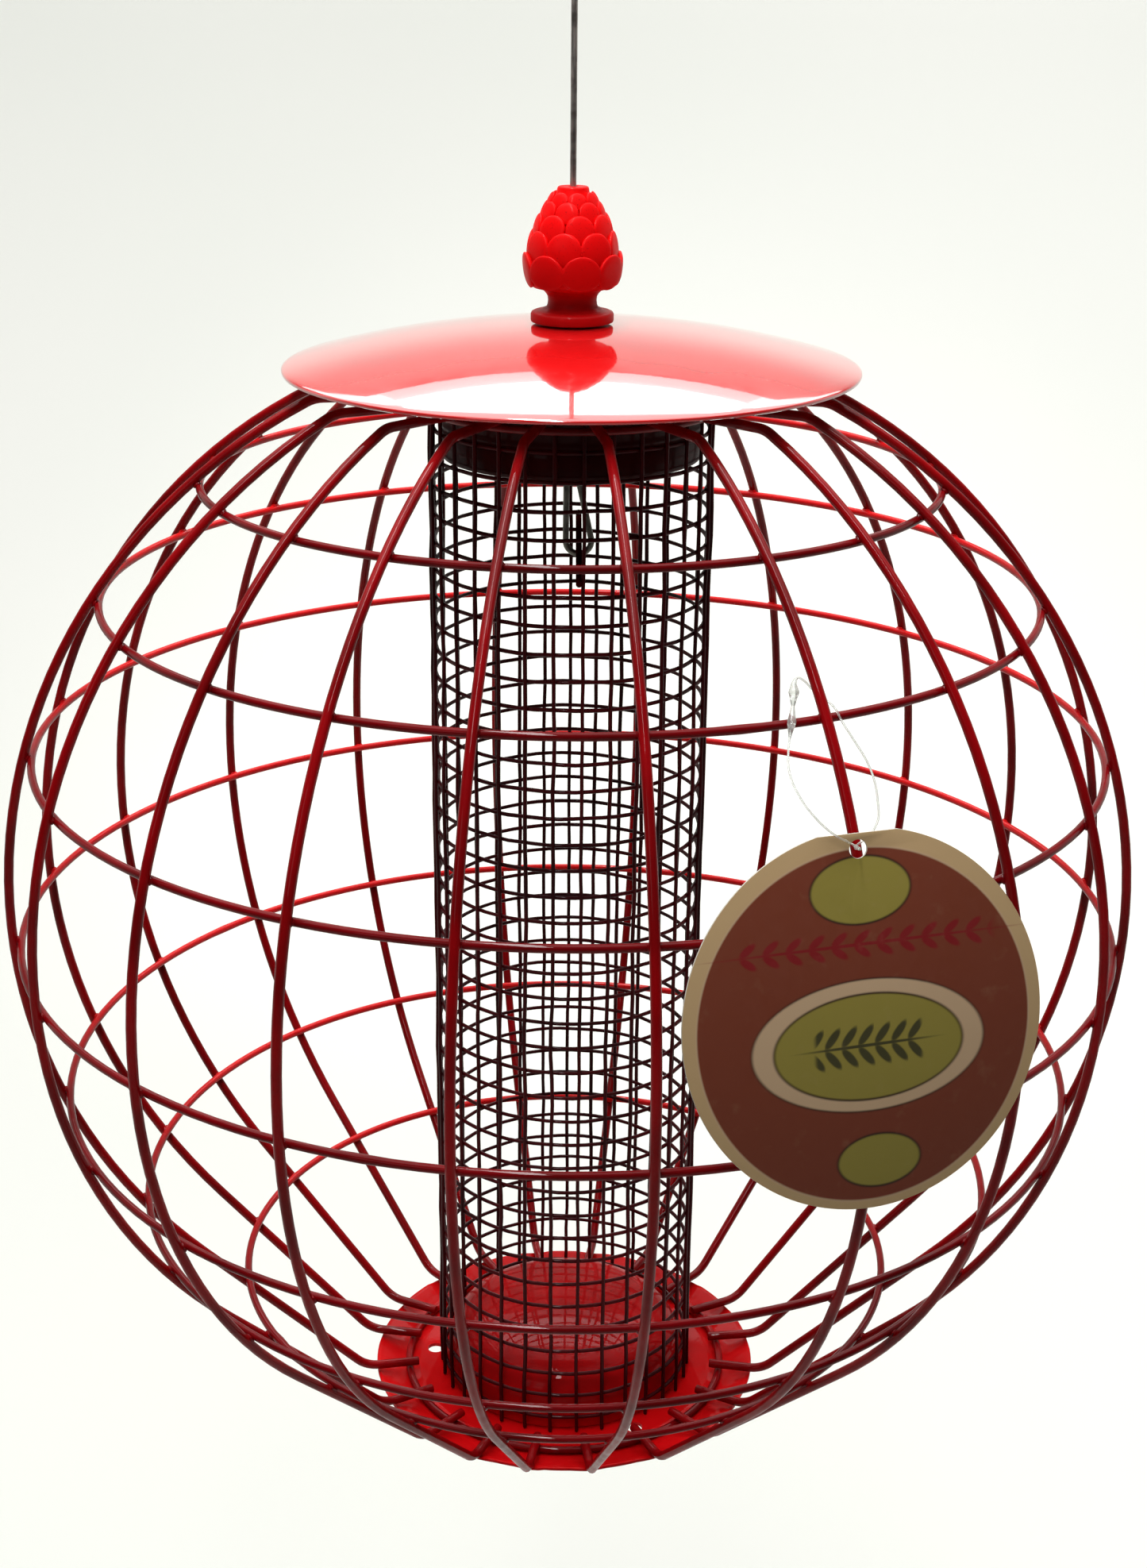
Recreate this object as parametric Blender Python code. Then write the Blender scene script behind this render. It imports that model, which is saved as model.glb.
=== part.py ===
"""Caged peanut feeder.

A round wire cage keeps large birds and squirrels off a tube of wire mesh that
holds the peanuts. The tube stands on a dished base plate with a dome in its
foot. A steel cable with an eye at each end carries everything: the lower eye
goes round a crossbar in the tube's mouth, the cable runs up through the plug,
the lid and the cone finial, and the upper eye is the hanging point. The lid
slides up the cable for filling. A round hang tag swings on a clear tie.

Metres, +Z up. The origin is the hanging point, where a hook bears in the upper
eye. Heights are counted from the centre of the globe, which hangs below it.
Azimuths are counted from the front, -Y, towards the right, +X.
"""
import math

import bmesh
import bpy
from mathutils import Vector

MM = 0.001

# Fits
seat_gap = 0.3 * MM
running_gap = 0.45 * MM
overrun = 1.0 * MM

# Bends sharper than this stay crisp
smooth_angle = math.radians(50.0)
mitre_floor_share = 0.5

# Where the globe hangs
hang_drop = 225.0 * MM

# Cage ribs
rib_count = 20
rib_wire = 2.2 * MM
rib_sides = 4
globe_radius = 130.6 * MM
shoulder_drop = 13.1 * MM
shoulder_bend = 8.0 * MM
shoulder_step_angle = math.radians(8.0)
leg_latitude = math.radians(-50.0)
foot_corner_reach = 2.9 * MM
foot_bend = 8.0 * MM
rib_foot_overlap = 2.3 * MM
first_rib_azimuth = math.radians(-9.0)
bend_steps = 4
# How far each rib stands off its even place, as a share of the spacing
rib_drift_shares = (
    -0.03, -0.09, -0.01, -0.04, -0.08, -0.08, -0.08, -0.03, -0.06, -0.01,
    0.01, 0.03, 0.05, 0.06, 0.08, 0.03, 0.07, 0.12, 0.19, 0.11)

# Cage rings
ring_wire = 1.8 * MM
ring_sides = 4
ring_segments = 36
small_ring_segments = 24
ring_latitudes = tuple(math.radians(a) for a in (50.0, 34.5, 17.0, -3.0, -21.0, -36.5))
# How far down the ribs' straight legs the lowest ring lies
leg_ring_share = 0.079
foot_ring_inset = 2.2 * MM

# Base plate
floor_below_globe = 4.6 * MM
plate_sheet = 0.9 * MM
plate_floor_margin = 11.1 * MM
plate_rim_width = 6.1 * MM
plate_segments = 32
drain_radius = 2.05 * MM
drain_offset = 2.6 * MM
drain_segments = 10
drain_azimuths = tuple(math.radians(a) for a in (-97.0, 31.0, 147.0))

# Mesh tube
tube_radius = 31.4 * MM
mesh_wire = 1.0 * MM
mesh_upright_count = 16
mesh_row_count = 23
tube_proud = 0.6 * MM
# Rows of mesh above the crossbar
bar_row_count = 3

# Dome in the tube's foot
dome_height = 17.2 * MM
dome_sheet = 0.8 * MM
dome_segments = 24
# The dome's section: radius and height as shares of its own
dome_shape_shares = ((1.0, 0.0), (0.985, 0.42), (0.91, 0.72), (0.76, 0.91), (0.40, 1.0))

# Crossbar and cable
bar_wire = 2.4 * MM
bar_end = 1.5 * MM
bar_segments = 10
cable_diameter = 1.4 * MM
cable_pitch = 3.0 * cable_diameter
eye_half_width = 2.9 * MM
eye_lean = math.radians(6.0)
ferrule_length = 9.0 * MM
ferrule_radius = 1.9 * MM
ferrule_segments = 12
lower_ferrule_drop = 16.2 * MM
top_eye_drop = 13.0 * MM
top_eye_half_width = 4.6 * MM
eye_leg_steps = 4
eye_round_steps = 10

# Lid
lid_radius = 64.0 * MM
lid_rim_rise = 6.0 * MM
lid_fall = 9.1 * MM
lid_sheet = 1.0 * MM
lid_segments = 36

# Plug under the lid
plug_fit = 0.7 * MM
plug_depth = 15.6 * MM
plug_chamfer = 1.1 * MM
plug_sheet = 0.8 * MM
plug_shoulder_reach = 3.6 * MM
plug_hole_radius = 4.5 * MM
plug_segments = 28

# Threaded nipple, washer and nut
nipple_radius = 2.5 * MM
nipple_height = 15.0 * MM
nipple_in_finial = 8.0 * MM
washer_radius = 6.0 * MM
washer_sheet = 0.8 * MM
nut_flats = 8.0 * MM
nut_height = 3.0 * MM
nut_sides = 6
round_segments = 16

# Finial: a pine cone on a two-step foot
finial_height = 29.0 * MM
finial_flange_radius = 9.2 * MM
finial_flange_height = 1.6 * MM
finial_step_radius = 7.4 * MM
finial_neck_radius = 5.2 * MM
finial_neck_height = 6.4 * MM
cone_radius = 11.0 * MM
cone_tip_radius = 3.4 * MM
cone_scale_count = 8
scale_depth = 1.1 * MM
scale_root_share = 1.6
# Each row of scales: height and radius as shares of the cone's own
cone_row_shares = (
    (0.16, 0.93), (0.42, 1.0), (0.62, 0.8), (0.78, 0.62), (0.90, 0.47))

# Hang tag
tag_radius = 36.6 * MM
tag_card = 0.5 * MM
tag_azimuth = math.radians(17.2)
tag_lean = math.radians(12.9)
tag_hole_radius = 1.8 * MM
tag_hole_inset = 3.9 * MM
tag_flat_inset = 0.9 * MM
tag_segments = 40
tag_hole_segments = 10
tag_side = 18.8 * MM
tag_hole_rise = 24.4 * MM

# Clear tie through the tag, round a rib just above the second ring
tie_wire = 0.5 * MM
# Ribs from the first to the tied one
tie_rib_count = 2
tie_rise = 3.0 * MM
tie_steps = 1
# The tie's route: to the right, outward and up from its pivot on the rib, as
# shares of its drop to the tag, and the swelling of its strand there
tie_drop = 23.3 * MM
tie_route_shares = (
    (-0.322, 0.069, -0.112, 4.4),
    (-0.266, -0.009, -0.009, 1.6),
    (-0.245, -0.039, 0.034, 3.2),
    (-0.219, -0.077, 0.086, 5.2),
    (-0.189, -0.124, 0.146, 2.4),
    (-0.137, -0.159, 0.172, 1.0),
    (-0.069, -0.167, 0.137, 1.0),
    (0.004, -0.155, 0.060, 1.0),
    (0.077, -0.086, -0.009, 1.0),
    (0.120, 0.017, -0.069, 1.0),
    (0.133, 0.112, -0.155, 1.0),
    (0.172, 0.240, -0.283, 1.0),
    (0.223, 0.373, -0.438, 1.0),
    (0.240, 0.468, -0.579, 1.0),
    (0.232, 0.540, -0.725, 1.0),
    (0.189, 0.614, -0.867, 1.0),
    (0.064, 0.652, -0.970, 1.0),
    (-0.077, 0.702, -1.012, 1.0),
    (-0.094, 0.800, -0.987, 1.0),
    (-0.197, 0.785, -0.918, 1.0),
    (-0.307, 0.742, -0.851, 1.0),
    (-0.470, 0.653, -0.677, 1.0),
    (-0.512, 0.505, -0.552, 1.0),
    (-0.507, 0.363, -0.430, 1.0),
    (-0.451, 0.240, -0.309, 1.0),
    (-0.386, 0.150, -0.215, 1.0))

# Places worked out from the sizes above
globe_level = -hang_drop
shoulder_height = globe_radius - shoulder_drop
floor_level = globe_level - globe_radius - floor_below_globe
plate_floor_radius = tube_radius + plate_floor_margin
plate_radius = plate_floor_radius + plate_rim_width
drain_circle_radius = tube_radius + drain_offset
foot_ring_radius = plate_floor_radius - foot_ring_inset
rib_foot_radius = foot_ring_radius - rib_foot_overlap
foot_corner_radius = plate_radius + foot_corner_reach
foot_ring_level = floor_level + seat_gap + ring_wire / 2
rib_foot_level = foot_ring_level + ring_wire / 2 + seat_gap + rib_wire / 2
rib_top_level = globe_level + shoulder_height
mesh_inner = (tube_radius - mesh_wire / 2) * math.cos(math.pi / mesh_upright_count)
mesh_foot_level = floor_level + seat_gap + mesh_wire / 2
mesh_top_level = globe_level + shoulder_height + tube_proud - mesh_wire / 2
mesh_pitch = (mesh_top_level - mesh_foot_level) / mesh_row_count
bar_level = mesh_top_level - bar_row_count * mesh_pitch - mesh_wire / 2 - seat_gap - bar_wire / 2
mouth_ring_inner = tube_radius + mesh_wire / 2 + seat_gap
mouth_ring_radius = (mouth_ring_inner + ring_wire / 2) / math.cos(math.pi / small_ring_segments)
plug_shoulder_radius = mouth_ring_radius + plug_shoulder_reach
mouth_ring_level = rib_top_level - rib_wire / 2 - seat_gap - ring_wire / 2
lid_crown_level = globe_level + shoulder_height + lid_rim_rise + lid_fall
shoulder_level = rib_top_level + rib_wire / 2 + seat_gap
plug_radius = mesh_inner - plug_fit
finial_foot_level = lid_crown_level + seat_gap
finial_top_level = finial_foot_level + finial_height
cable_bore_radius = cable_diameter / 2 + running_gap
nipple_hole_radius = nipple_radius + seat_gap
nipple_top_level = finial_foot_level + nipple_in_finial
top_ferrule_foot = -top_eye_drop - ferrule_length
tag_hole_offset = tag_radius - tag_hole_inset
tag_flat_offset = tag_radius - tag_flat_inset


def clear_scene():
    for item in list(bpy.data.objects):
        bpy.data.objects.remove(item, do_unlink=True)


def material(name, colour, metallic, roughness):
    """A Principled BSDF material with the part's colour and finish."""
    made = bpy.data.materials.new(name)
    made.use_nodes = True
    shader = made.node_tree.nodes["Principled BSDF"]
    shader.inputs["Base Color"].default_value = (*colour, 1.0)
    shader.inputs["Metallic"].default_value = metallic
    shader.inputs["Roughness"].default_value = roughness
    return made


def add_object(name, data, finish, parent=None, smooth=True):
    """Link an object made of the given data and give it its own material."""
    item = bpy.data.objects.new(name, data)
    bpy.context.collection.objects.link(item)
    if not data.materials:
        data.materials.append(None)
    item.material_slots[0].link = "OBJECT"
    item.material_slots[0].material = material(name, *finish)
    if smooth and isinstance(data, bpy.types.Mesh):
        data.shade_smooth()
        data.set_sharp_from_angle(angle=smooth_angle)
    if parent:
        item.parent = parent
    return item


def add_empty(name, location, parent=None):
    """A guide point that pieces hang from."""
    item = bpy.data.objects.new(name, None)
    bpy.context.collection.objects.link(item)
    item.location = location
    if parent:
        item.parent = parent
    return item


def mesh_from(name, build):
    """A mesh that the given function draws in a new bmesh."""
    bm = bmesh.new()
    build(bm)
    bmesh.ops.recalc_face_normals(bm, faces=bm.faces)
    mesh = bpy.data.meshes.new(name)
    bm.to_mesh(mesh)
    bm.free()
    return mesh


def outward(azimuth):
    """The level direction that points out from the axis at an azimuth."""
    return Vector((math.sin(azimuth), -math.cos(azimuth), 0.0))


def rightward(azimuth):
    """The level direction along the cage, to the right, at an azimuth."""
    return Vector((math.cos(azimuth), math.sin(azimuth), 0.0))


def face_angle(azimuth):
    """The turn about Z that brings +X to an azimuth."""
    return azimuth - math.pi / 2


def bridge(bm, lower, upper):
    """Side faces between two closed loops of vertices."""
    count = len(lower)
    for i in range(count):
        j = (i + 1) % count
        bm.faces.new((lower[i], lower[j], upper[j], upper[i]))


def turned(profile, segments, closed):
    """A turned mesh from (radius, height) points, ring by ring.

    A closed profile goes round the section of a part with a bore. An open
    one gets a flat face across its first and last ring.
    """
    def build(bm):
        rings = []
        for radius, height in profile:
            ring = []
            for i in range(segments):
                angle = math.tau * i / segments
                ring.append(bm.verts.new((radius * math.cos(angle), radius * math.sin(angle), height)))
            rings.append(ring)
        for a, b in zip(rings, rings[1:]):
            bridge(bm, a, b)
        if closed:
            bridge(bm, rings[-1], rings[0])
        else:
            bm.faces.new(rings[0])
            bm.faces.new(rings[-1])
    return mesh_from("turned", build)


def wire_mesh(points, radius, sides, closed):
    """A bent wire along points, with mitred joints and flat ends.

    A closed wire is a level ring. An open one lies in the XZ plane.
    """
    normal = Vector((0.0, 0.0, 1.0)) if closed else Vector((0.0, 1.0, 0.0))
    count = len(points)

    def build(bm):
        rings = []
        for i, point in enumerate(points):
            before = points[(i - 1) % count] if closed or i > 0 else None
            after = points[(i + 1) % count] if closed or i < count - 1 else None
            along_in = (point - before).normalized() if before else (after - point).normalized()
            along_out = (after - point).normalized() if after else along_in
            along = (along_in + along_out).normalized()
            across = normal.cross(along)
            mitre = 1.0 / max(along.dot(along_in), mitre_floor_share)
            ring = []
            for k in range(sides):
                angle = math.tau * k / sides
                offset = across * (math.cos(angle) * radius * mitre) + normal * (math.sin(angle) * radius)
                ring.append(bm.verts.new(point + offset))
            rings.append(ring)
        for a, b in zip(rings, rings[1:]):
            bridge(bm, a, b)
        if closed:
            bridge(bm, rings[-1], rings[0])
        else:
            bm.faces.new(rings[0])
            bm.faces.new(rings[-1])
    return mesh_from("wire", build)


def bend(before, corner, after, radius, steps):
    """Points of the arc that rounds a corner between two straight runs."""
    to_before = (before - corner).normalized()
    to_after = (after - corner).normalized()
    half = to_before.angle(to_after) / 2
    start = corner + to_before * (radius / math.tan(half))
    end = corner + to_after * (radius / math.tan(half))
    middle = corner + (to_before + to_after).normalized() * (radius / math.sin(half))
    sweep = math.pi - 2 * half
    points = []
    for i in range(steps + 1):
        t = i / steps
        near = math.sin((1 - t) * sweep) / math.sin(sweep)
        far = math.sin(t * sweep) / math.sin(sweep)
        points.append(middle + (start - middle) * near + (end - middle) * far)
    return points


def on_globe(latitude, radius):
    """A point in the XZ plane on the globe, above or below its centre."""
    return Vector((radius * math.cos(latitude), 0.0, radius * math.sin(latitude)))


def rib_leg():
    """The two ends of the straight leg from the globe down to the foot."""
    foot = Vector((foot_corner_radius, 0.0, rib_foot_level - globe_level))
    return on_globe(leg_latitude, globe_radius), foot


def rib_path():
    """The centreline of a rib from its mouth end to its foot end."""
    top = rib_top_level - globe_level
    corner = Vector((math.sqrt(globe_radius ** 2 - top ** 2), 0.0, top))
    mouth_end = Vector((mouth_ring_radius, 0.0, top))
    corner_latitude = math.asin(top / globe_radius)
    below = on_globe(corner_latitude - shoulder_step_angle, globe_radius)
    points = [mouth_end] + bend(mouth_end, corner, below, shoulder_bend, bend_steps)
    stops = list(ring_latitudes) + [leg_latitude]
    points.append(on_globe(stops[0], globe_radius))
    for above, under in zip(stops, stops[1:]):
        points.append(on_globe((above + under) / 2, globe_radius))
        points.append(on_globe(under, globe_radius))
    leg_top, foot = rib_leg()
    foot_end = Vector((rib_foot_radius, 0.0, foot.z))
    points += bend(leg_top, foot, foot_end, foot_bend, bend_steps - 1)
    points.append(foot_end)
    return points


def rib_azimuth(index):
    spacing = math.tau / rib_count
    drift = rib_drift_shares[index % len(rib_drift_shares)]
    return first_rib_azimuth + spacing * (index + drift)


def circle_points(radius, segments, turn=0.0):
    points = []
    for i in range(segments):
        angle = turn + math.tau * i / segments
        points.append(Vector((radius * math.cos(angle), radius * math.sin(angle), 0.0)))
    return points


red = ((0.55, 0.02, 0.03), 0.35, 0.22)
dark_red = ((0.30, 0.012, 0.02), 0.35, 0.30)
steel = ((0.52, 0.53, 0.54), 1.0, 0.35)
card = ((0.30, 0.13, 0.08), 0.0, 0.6)
clear_plastic = ((0.86, 0.88, 0.86), 0.0, 0.25)


def make_ribs(globe):
    shared = wire_mesh(rib_path(), rib_wire / 2, rib_sides, False)
    for index in range(rib_count):
        rib = add_object(f"cage_rib_{index + 1:02d}", shared, red, globe)
        rib.rotation_euler.z = face_angle(rib_azimuth(index))


def make_rings(globe):
    inset = rib_wire / 2 + seat_gap + ring_wire / 2
    turn = face_angle(first_rib_azimuth)
    places = []
    for latitude in ring_latitudes:
        spot = on_globe(latitude, globe_radius - inset)
        places.append((spot.x, spot.z, ring_segments))
    leg_top, leg_foot = rib_leg()
    leg = leg_foot - leg_top
    along = leg.normalized()
    inward = Vector((along.z, 0.0, -along.x))
    spot = leg_top + leg * leg_ring_share + inward * inset
    places.append((spot.x, spot.z, ring_segments))
    for index, (radius, height, segments) in enumerate(places):
        shared = wire_mesh(circle_points(radius, segments, turn), ring_wire / 2, ring_sides, True)
        ring = add_object(f"cage_ring_{index + 1}", shared, red, globe)
        ring.location.z = height
    for name, radius, level in (("cage_foot_ring", foot_ring_radius, foot_ring_level),
                                ("cage_mouth_ring", mouth_ring_radius, mouth_ring_level)):
        points = circle_points(radius, small_ring_segments)
        ring = add_object(name, wire_mesh(points, ring_wire / 2, ring_sides, True), red, globe)
        ring.location.z = level - globe_level


def drill(target, radius, segments, place, direction, length):
    """Cut a round hole through an object with a hidden cutter."""
    def build(bm):
        bmesh.ops.create_cone(bm, cap_ends=True, segments=segments, radius1=radius, radius2=radius, depth=length)
    cutter = bpy.data.objects.new(target.name + "_cutter", mesh_from("cutter", build))
    bpy.context.collection.objects.link(cutter)
    cutter.location = place
    cutter.rotation_mode = "QUATERNION"
    cutter.rotation_quaternion = Vector((0.0, 0.0, 1.0)).rotation_difference(direction)
    cutter.parent = target
    cutter.hide_render = True
    cutter.display_type = "WIRE"
    cut = target.modifiers.new("hole", "BOOLEAN")
    cut.operation = "DIFFERENCE"
    cut.solver = "EXACT"
    cut.object = cutter


def make_plate(globe):
    rim = rib_foot_level - rib_wire / 2 - seat_gap - floor_level
    under = -plate_sheet
    profile = (
        (plate_floor_radius, 0.0),
        (plate_radius, rim),
        (plate_radius, rim + under),
        (plate_floor_radius, under))
    plate = add_object("base_plate", turned(profile, plate_segments, False), red, globe)
    plate.location.z = floor_level - globe_level
    for azimuth in drain_azimuths:
        place = outward(azimuth) * drain_circle_radius
        drill(plate, drain_radius, drain_segments, place, Vector((0.0, 0.0, 1.0)), 2 * (plate_sheet + overrun))


def make_dome(globe):
    """A pressed dome with rounded shoulders, open underneath."""
    radius = mesh_inner - seat_gap
    inner_radius = radius - dome_sheet
    inner_height = dome_height - dome_sheet
    outside = [(radius * r, dome_height * h) for r, h in dome_shape_shares]
    inside = [(inner_radius * r, inner_height * h) for r, h in dome_shape_shares]

    def build(bm):
        loops = []
        for profile in (outside, inside):
            rings = []
            for r, h in profile:
                ring = []
                for i in range(dome_segments):
                    angle = math.tau * i / dome_segments
                    ring.append(bm.verts.new((r * math.cos(angle), r * math.sin(angle), h)))
                rings.append(ring)
            for a, b in zip(rings, rings[1:]):
                bridge(bm, a, b)
            bm.faces.new(rings[-1])
            loops.append(rings[0])
        bridge(bm, loops[0], loops[1])
    dome = add_object("foot_dome", mesh_from("dome", build), red, globe)
    dome.location.z = floor_level + seat_gap - globe_level


def make_mesh_tube(globe):
    """The welded mesh as one lattice: each wire is a ridge between openings."""
    half = mesh_wire / 2
    lean = half / tube_radius
    turn = math.tau / mesh_upright_count

    def spot(bm, angle, radius, height):
        direction = outward(angle)
        return bm.verts.new((direction.x * radius, direction.y * radius, height))

    def build(bm):
        outer = {}
        inner = {}
        corner = {}
        for i in range(mesh_upright_count):
            angle = turn * (i + 0.5)
            for j in range(mesh_row_count + 1):
                height = j * mesh_pitch
                outer[i, j] = spot(bm, angle, tube_radius + half, height)
                inner[i, j] = spot(bm, angle, tube_radius - half, height)
                for side in (-1, 1):
                    for rise in (-1, 1):
                        at_edge = (j == 0 and rise < 0) or (j == mesh_row_count and rise > 0)
                        if at_edge and side > 0:
                            corner[i, j, side, rise] = corner[i, j, -1, rise]
                            continue
                        shift = 0.0 if at_edge else side * lean
                        corner[i, j, side, rise] = spot(bm, angle + shift, tube_radius, height + rise * half)
        for i in range(mesh_upright_count):
            n = (i + 1) % mesh_upright_count
            for j in range(mesh_row_count + 1):
                for rise in (-1, 1):
                    low = corner[i, j, 1, rise]
                    high = corner[n, j, -1, rise]
                    for crown in (outer, inner):
                        bm.faces.new((crown[i, j], crown[n, j], high, low))
            for j in range(mesh_row_count):
                for side in (-1, 1):
                    low = corner[i, j, side, 1]
                    high = corner[i, j + 1, side, -1]
                    for crown in (outer, inner):
                        bm.faces.new((crown[i, j], crown[i, j + 1], high, low))
    tube = add_object("mesh_tube", mesh_from("mesh_tube", build), dark_red, globe, smooth=False)
    tube.location.z = mesh_foot_level - globe_level


def curve_tube(name, points, radius, finish, closed=False, swell=None, resolution=2):
    """A round flexible piece: a curve with a bevel and filled ends."""
    curve = bpy.data.curves.new(name, "CURVE")
    curve.dimensions = "3D"
    curve.bevel_depth = radius
    curve.bevel_resolution = resolution
    curve.use_fill_caps = True
    spline = curve.splines.new("POLY")
    spline.points.add(len(points) - 1)
    for i, point in enumerate(points):
        spline.points[i].co = (*point, 1.0)
        if swell:
            spline.points[i].radius = swell[i]
    spline.use_cyclic_u = closed
    spline.use_smooth = True
    return add_object(name, curve, finish)


def smooth_points(route, steps, closed):
    """Points of a Catmull-Rom curve through a route of equal-length tuples."""
    count = len(route)
    spans = count if closed else count - 1
    made = []
    for i in range(spans):
        if closed:
            picks = [route[(i + k) % count] for k in (-1, 0, 1, 2)]
        else:
            picks = [route[min(max(i + k, 0), count - 1)] for k in (-1, 0, 1, 2)]
        for s in range(steps):
            t = s / steps
            value = []
            for a, b, c, d in zip(*picks):
                value.append(0.5 * (2 * b + (c - a) * t + (2 * a - 5 * b + 4 * c - d) * t ** 2
                                    + (3 * b - a - 3 * c + d) * t ** 3))
            made.append(tuple(value))
    if not closed:
        made.append(tuple(route[-1]))
    return made


def eye_loop(length, radius, leg_offset):
    """A teardrop loop: two legs that run down from their ferrule to a round foot."""
    middle_drop = length - radius
    reach = math.hypot(leg_offset, middle_drop)
    start = math.pi / 2 - math.atan2(leg_offset, middle_drop) - math.acos(radius / reach)
    leg = []
    for i in range(eye_leg_steps):
        t = i / eye_leg_steps
        touch_x = radius * math.cos(start)
        touch_z = radius * math.sin(start) - middle_drop
        leg.append(Vector((leg_offset + (touch_x - leg_offset) * t, 0.0, touch_z * t)))
    round_foot = []
    for i in range(eye_round_steps + 1):
        angle = start - (math.pi + 2 * start) * i / eye_round_steps
        round_foot.append(Vector((radius * math.cos(angle), 0.0, radius * math.sin(angle) - middle_drop)))
    other_leg = [Vector((-point.x, 0.0, point.z)) for point in reversed(leg)]
    return leg + round_foot + other_leg


def make_hanging(globe):
    """Crossbar, lower eye, cable, ferrules and the hanging eye."""
    wire = cable_diameter / 2
    leg_offset = wire + seat_gap
    ferrule_foot_level = globe_level + shoulder_height - lower_ferrule_drop
    eye_top_level = ferrule_foot_level - seat_gap
    eye_length = (eye_top_level - bar_level) / math.cos(eye_lean) + bar_wire / 2 + seat_gap + wire
    bar_shift = (eye_top_level - bar_level) * math.tan(eye_lean)

    bar_length = 2 * (tube_radius + mesh_wire / 2 + bar_end)

    def build(bm):
        bmesh.ops.create_cone(bm, cap_ends=True, segments=bar_segments, radius1=bar_wire / 2,
                              radius2=bar_wire / 2, depth=bar_length)
    bar = add_object("hanger_crossbar", mesh_from("bar", build), dark_red, globe)
    bar.rotation_euler.x = math.pi / 2
    bar.location = (bar_shift, 0.0, bar_level - globe_level)

    eye = curve_tube("lower_eye", eye_loop(eye_length, eye_half_width, leg_offset), wire, steel, resolution=2)
    eye.location.z = eye_top_level
    eye.rotation_euler.y = -eye_lean

    cable_foot = ferrule_foot_level + ferrule_length + seat_gap
    cable_top = top_ferrule_foot - seat_gap
    count = max(2, round((cable_top - cable_foot) / cable_pitch))
    points = [Vector((0.0, 0.0, cable_foot + (cable_top - cable_foot) * i / count)) for i in range(count + 1)]
    curve_tube("cable", points, wire, steel)

    sleeve = ((ferrule_radius, 0.0), (ferrule_radius, ferrule_length))
    lower = add_object("lower_ferrule", turned(sleeve, ferrule_segments, False), steel)
    lower.location.z = ferrule_foot_level
    upper = add_object("top_ferrule", turned(sleeve, ferrule_segments, False), steel)
    upper.location.z = top_ferrule_foot

    top_length = top_eye_drop - seat_gap + wire
    loop = curve_tube("hanging_eye", eye_loop(top_length, top_eye_half_width, leg_offset), wire, steel)
    loop.location.z = top_ferrule_foot + ferrule_length + seat_gap
    loop.rotation_euler.y = math.pi


def lid_height(radius):
    """The height of the lid's upper face above its own crown, a negative sag."""
    return -lid_fall * (radius / lid_radius) ** 2


def make_lid(lid_root):
    lid_ring_shares = (0.33, 0.67, 0.93)
    upper = [(nipple_hole_radius, lid_height(nipple_hole_radius))]
    upper += [(lid_radius * share, lid_height(lid_radius * share)) for share in lid_ring_shares]
    upper.append((lid_radius - lid_sheet / 4, lid_height(lid_radius) - lid_sheet / 8))
    rim = [(lid_radius, lid_height(lid_radius) - lid_sheet / 2)]
    lower = [(r, h - lid_sheet) for r, h in reversed(upper)]
    lid = add_object("lid", turned(upper + rim + lower, lid_segments, True), red, lid_root)
    lid.location.z = lid_crown_level - lid_root.location.z

    shoulder = shoulder_level - lid_crown_level
    foot = shoulder - plug_depth
    top = lid_height(plug_shoulder_radius) - lid_sheet - seat_gap
    wall = plug_sheet
    profile = (
        (plug_hole_radius, foot),
        (plug_radius - plug_chamfer, foot),
        (plug_radius, foot + plug_chamfer),
        (plug_radius, shoulder),
        (plug_shoulder_radius, shoulder),
        (plug_shoulder_radius, top),
        (plug_shoulder_radius - wall, top),
        (plug_shoulder_radius - wall, shoulder + wall),
        (plug_radius - wall, shoulder + wall),
        (plug_radius - wall, foot + plug_chamfer),
        (plug_radius - plug_chamfer, foot + wall),
        (plug_hole_radius, foot + wall))
    plug = add_object("lid_plug", turned(profile, plug_segments, True), dark_red, lid_root)
    plug.location.z = lid_crown_level - lid_root.location.z

    nipple_foot = nipple_top_level - nipple_height - lid_root.location.z
    tube = ((cable_bore_radius, 0.0), (nipple_radius, 0.0),
            (nipple_radius, nipple_height), (cable_bore_radius, nipple_height))
    nipple = add_object("lid_nipple", turned(tube, round_segments, True), steel, lid_root)
    nipple.location.z = nipple_foot

    washer_top = lid_height(washer_radius) - lid_sheet - seat_gap
    disc = ((nipple_hole_radius, 0.0), (washer_radius, 0.0),
            (washer_radius, washer_sheet), (nipple_hole_radius, washer_sheet))
    washer = add_object("lid_washer", turned(disc, round_segments, True), steel, lid_root)
    washer.location.z = lid_crown_level + washer_top - washer_sheet - lid_root.location.z

    def build(bm):
        loops = []
        for radius_of, height in (("bore", 0.0), ("flats", 0.0), ("flats", nut_height), ("bore", nut_height)):
            ring = []
            for i in range(2 * nut_sides):
                angle = math.pi * i / nut_sides
                reach = nipple_hole_radius
                if radius_of == "flats":
                    reach = nut_flats / 2 if i % 2 else nut_flats / 2 / math.cos(math.pi / nut_sides)
                ring.append(bm.verts.new((reach * math.cos(angle), reach * math.sin(angle), height)))
            loops.append(ring)
        for a, b in zip(loops, loops[1:] + loops[:1]):
            bridge(bm, a, b)
    nut = add_object("lid_nut", mesh_from("nut", build), steel, lid_root, smooth=False)
    nut.location.z = washer.location.z - seat_gap - nut_height

    make_finial(lid_root)


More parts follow.
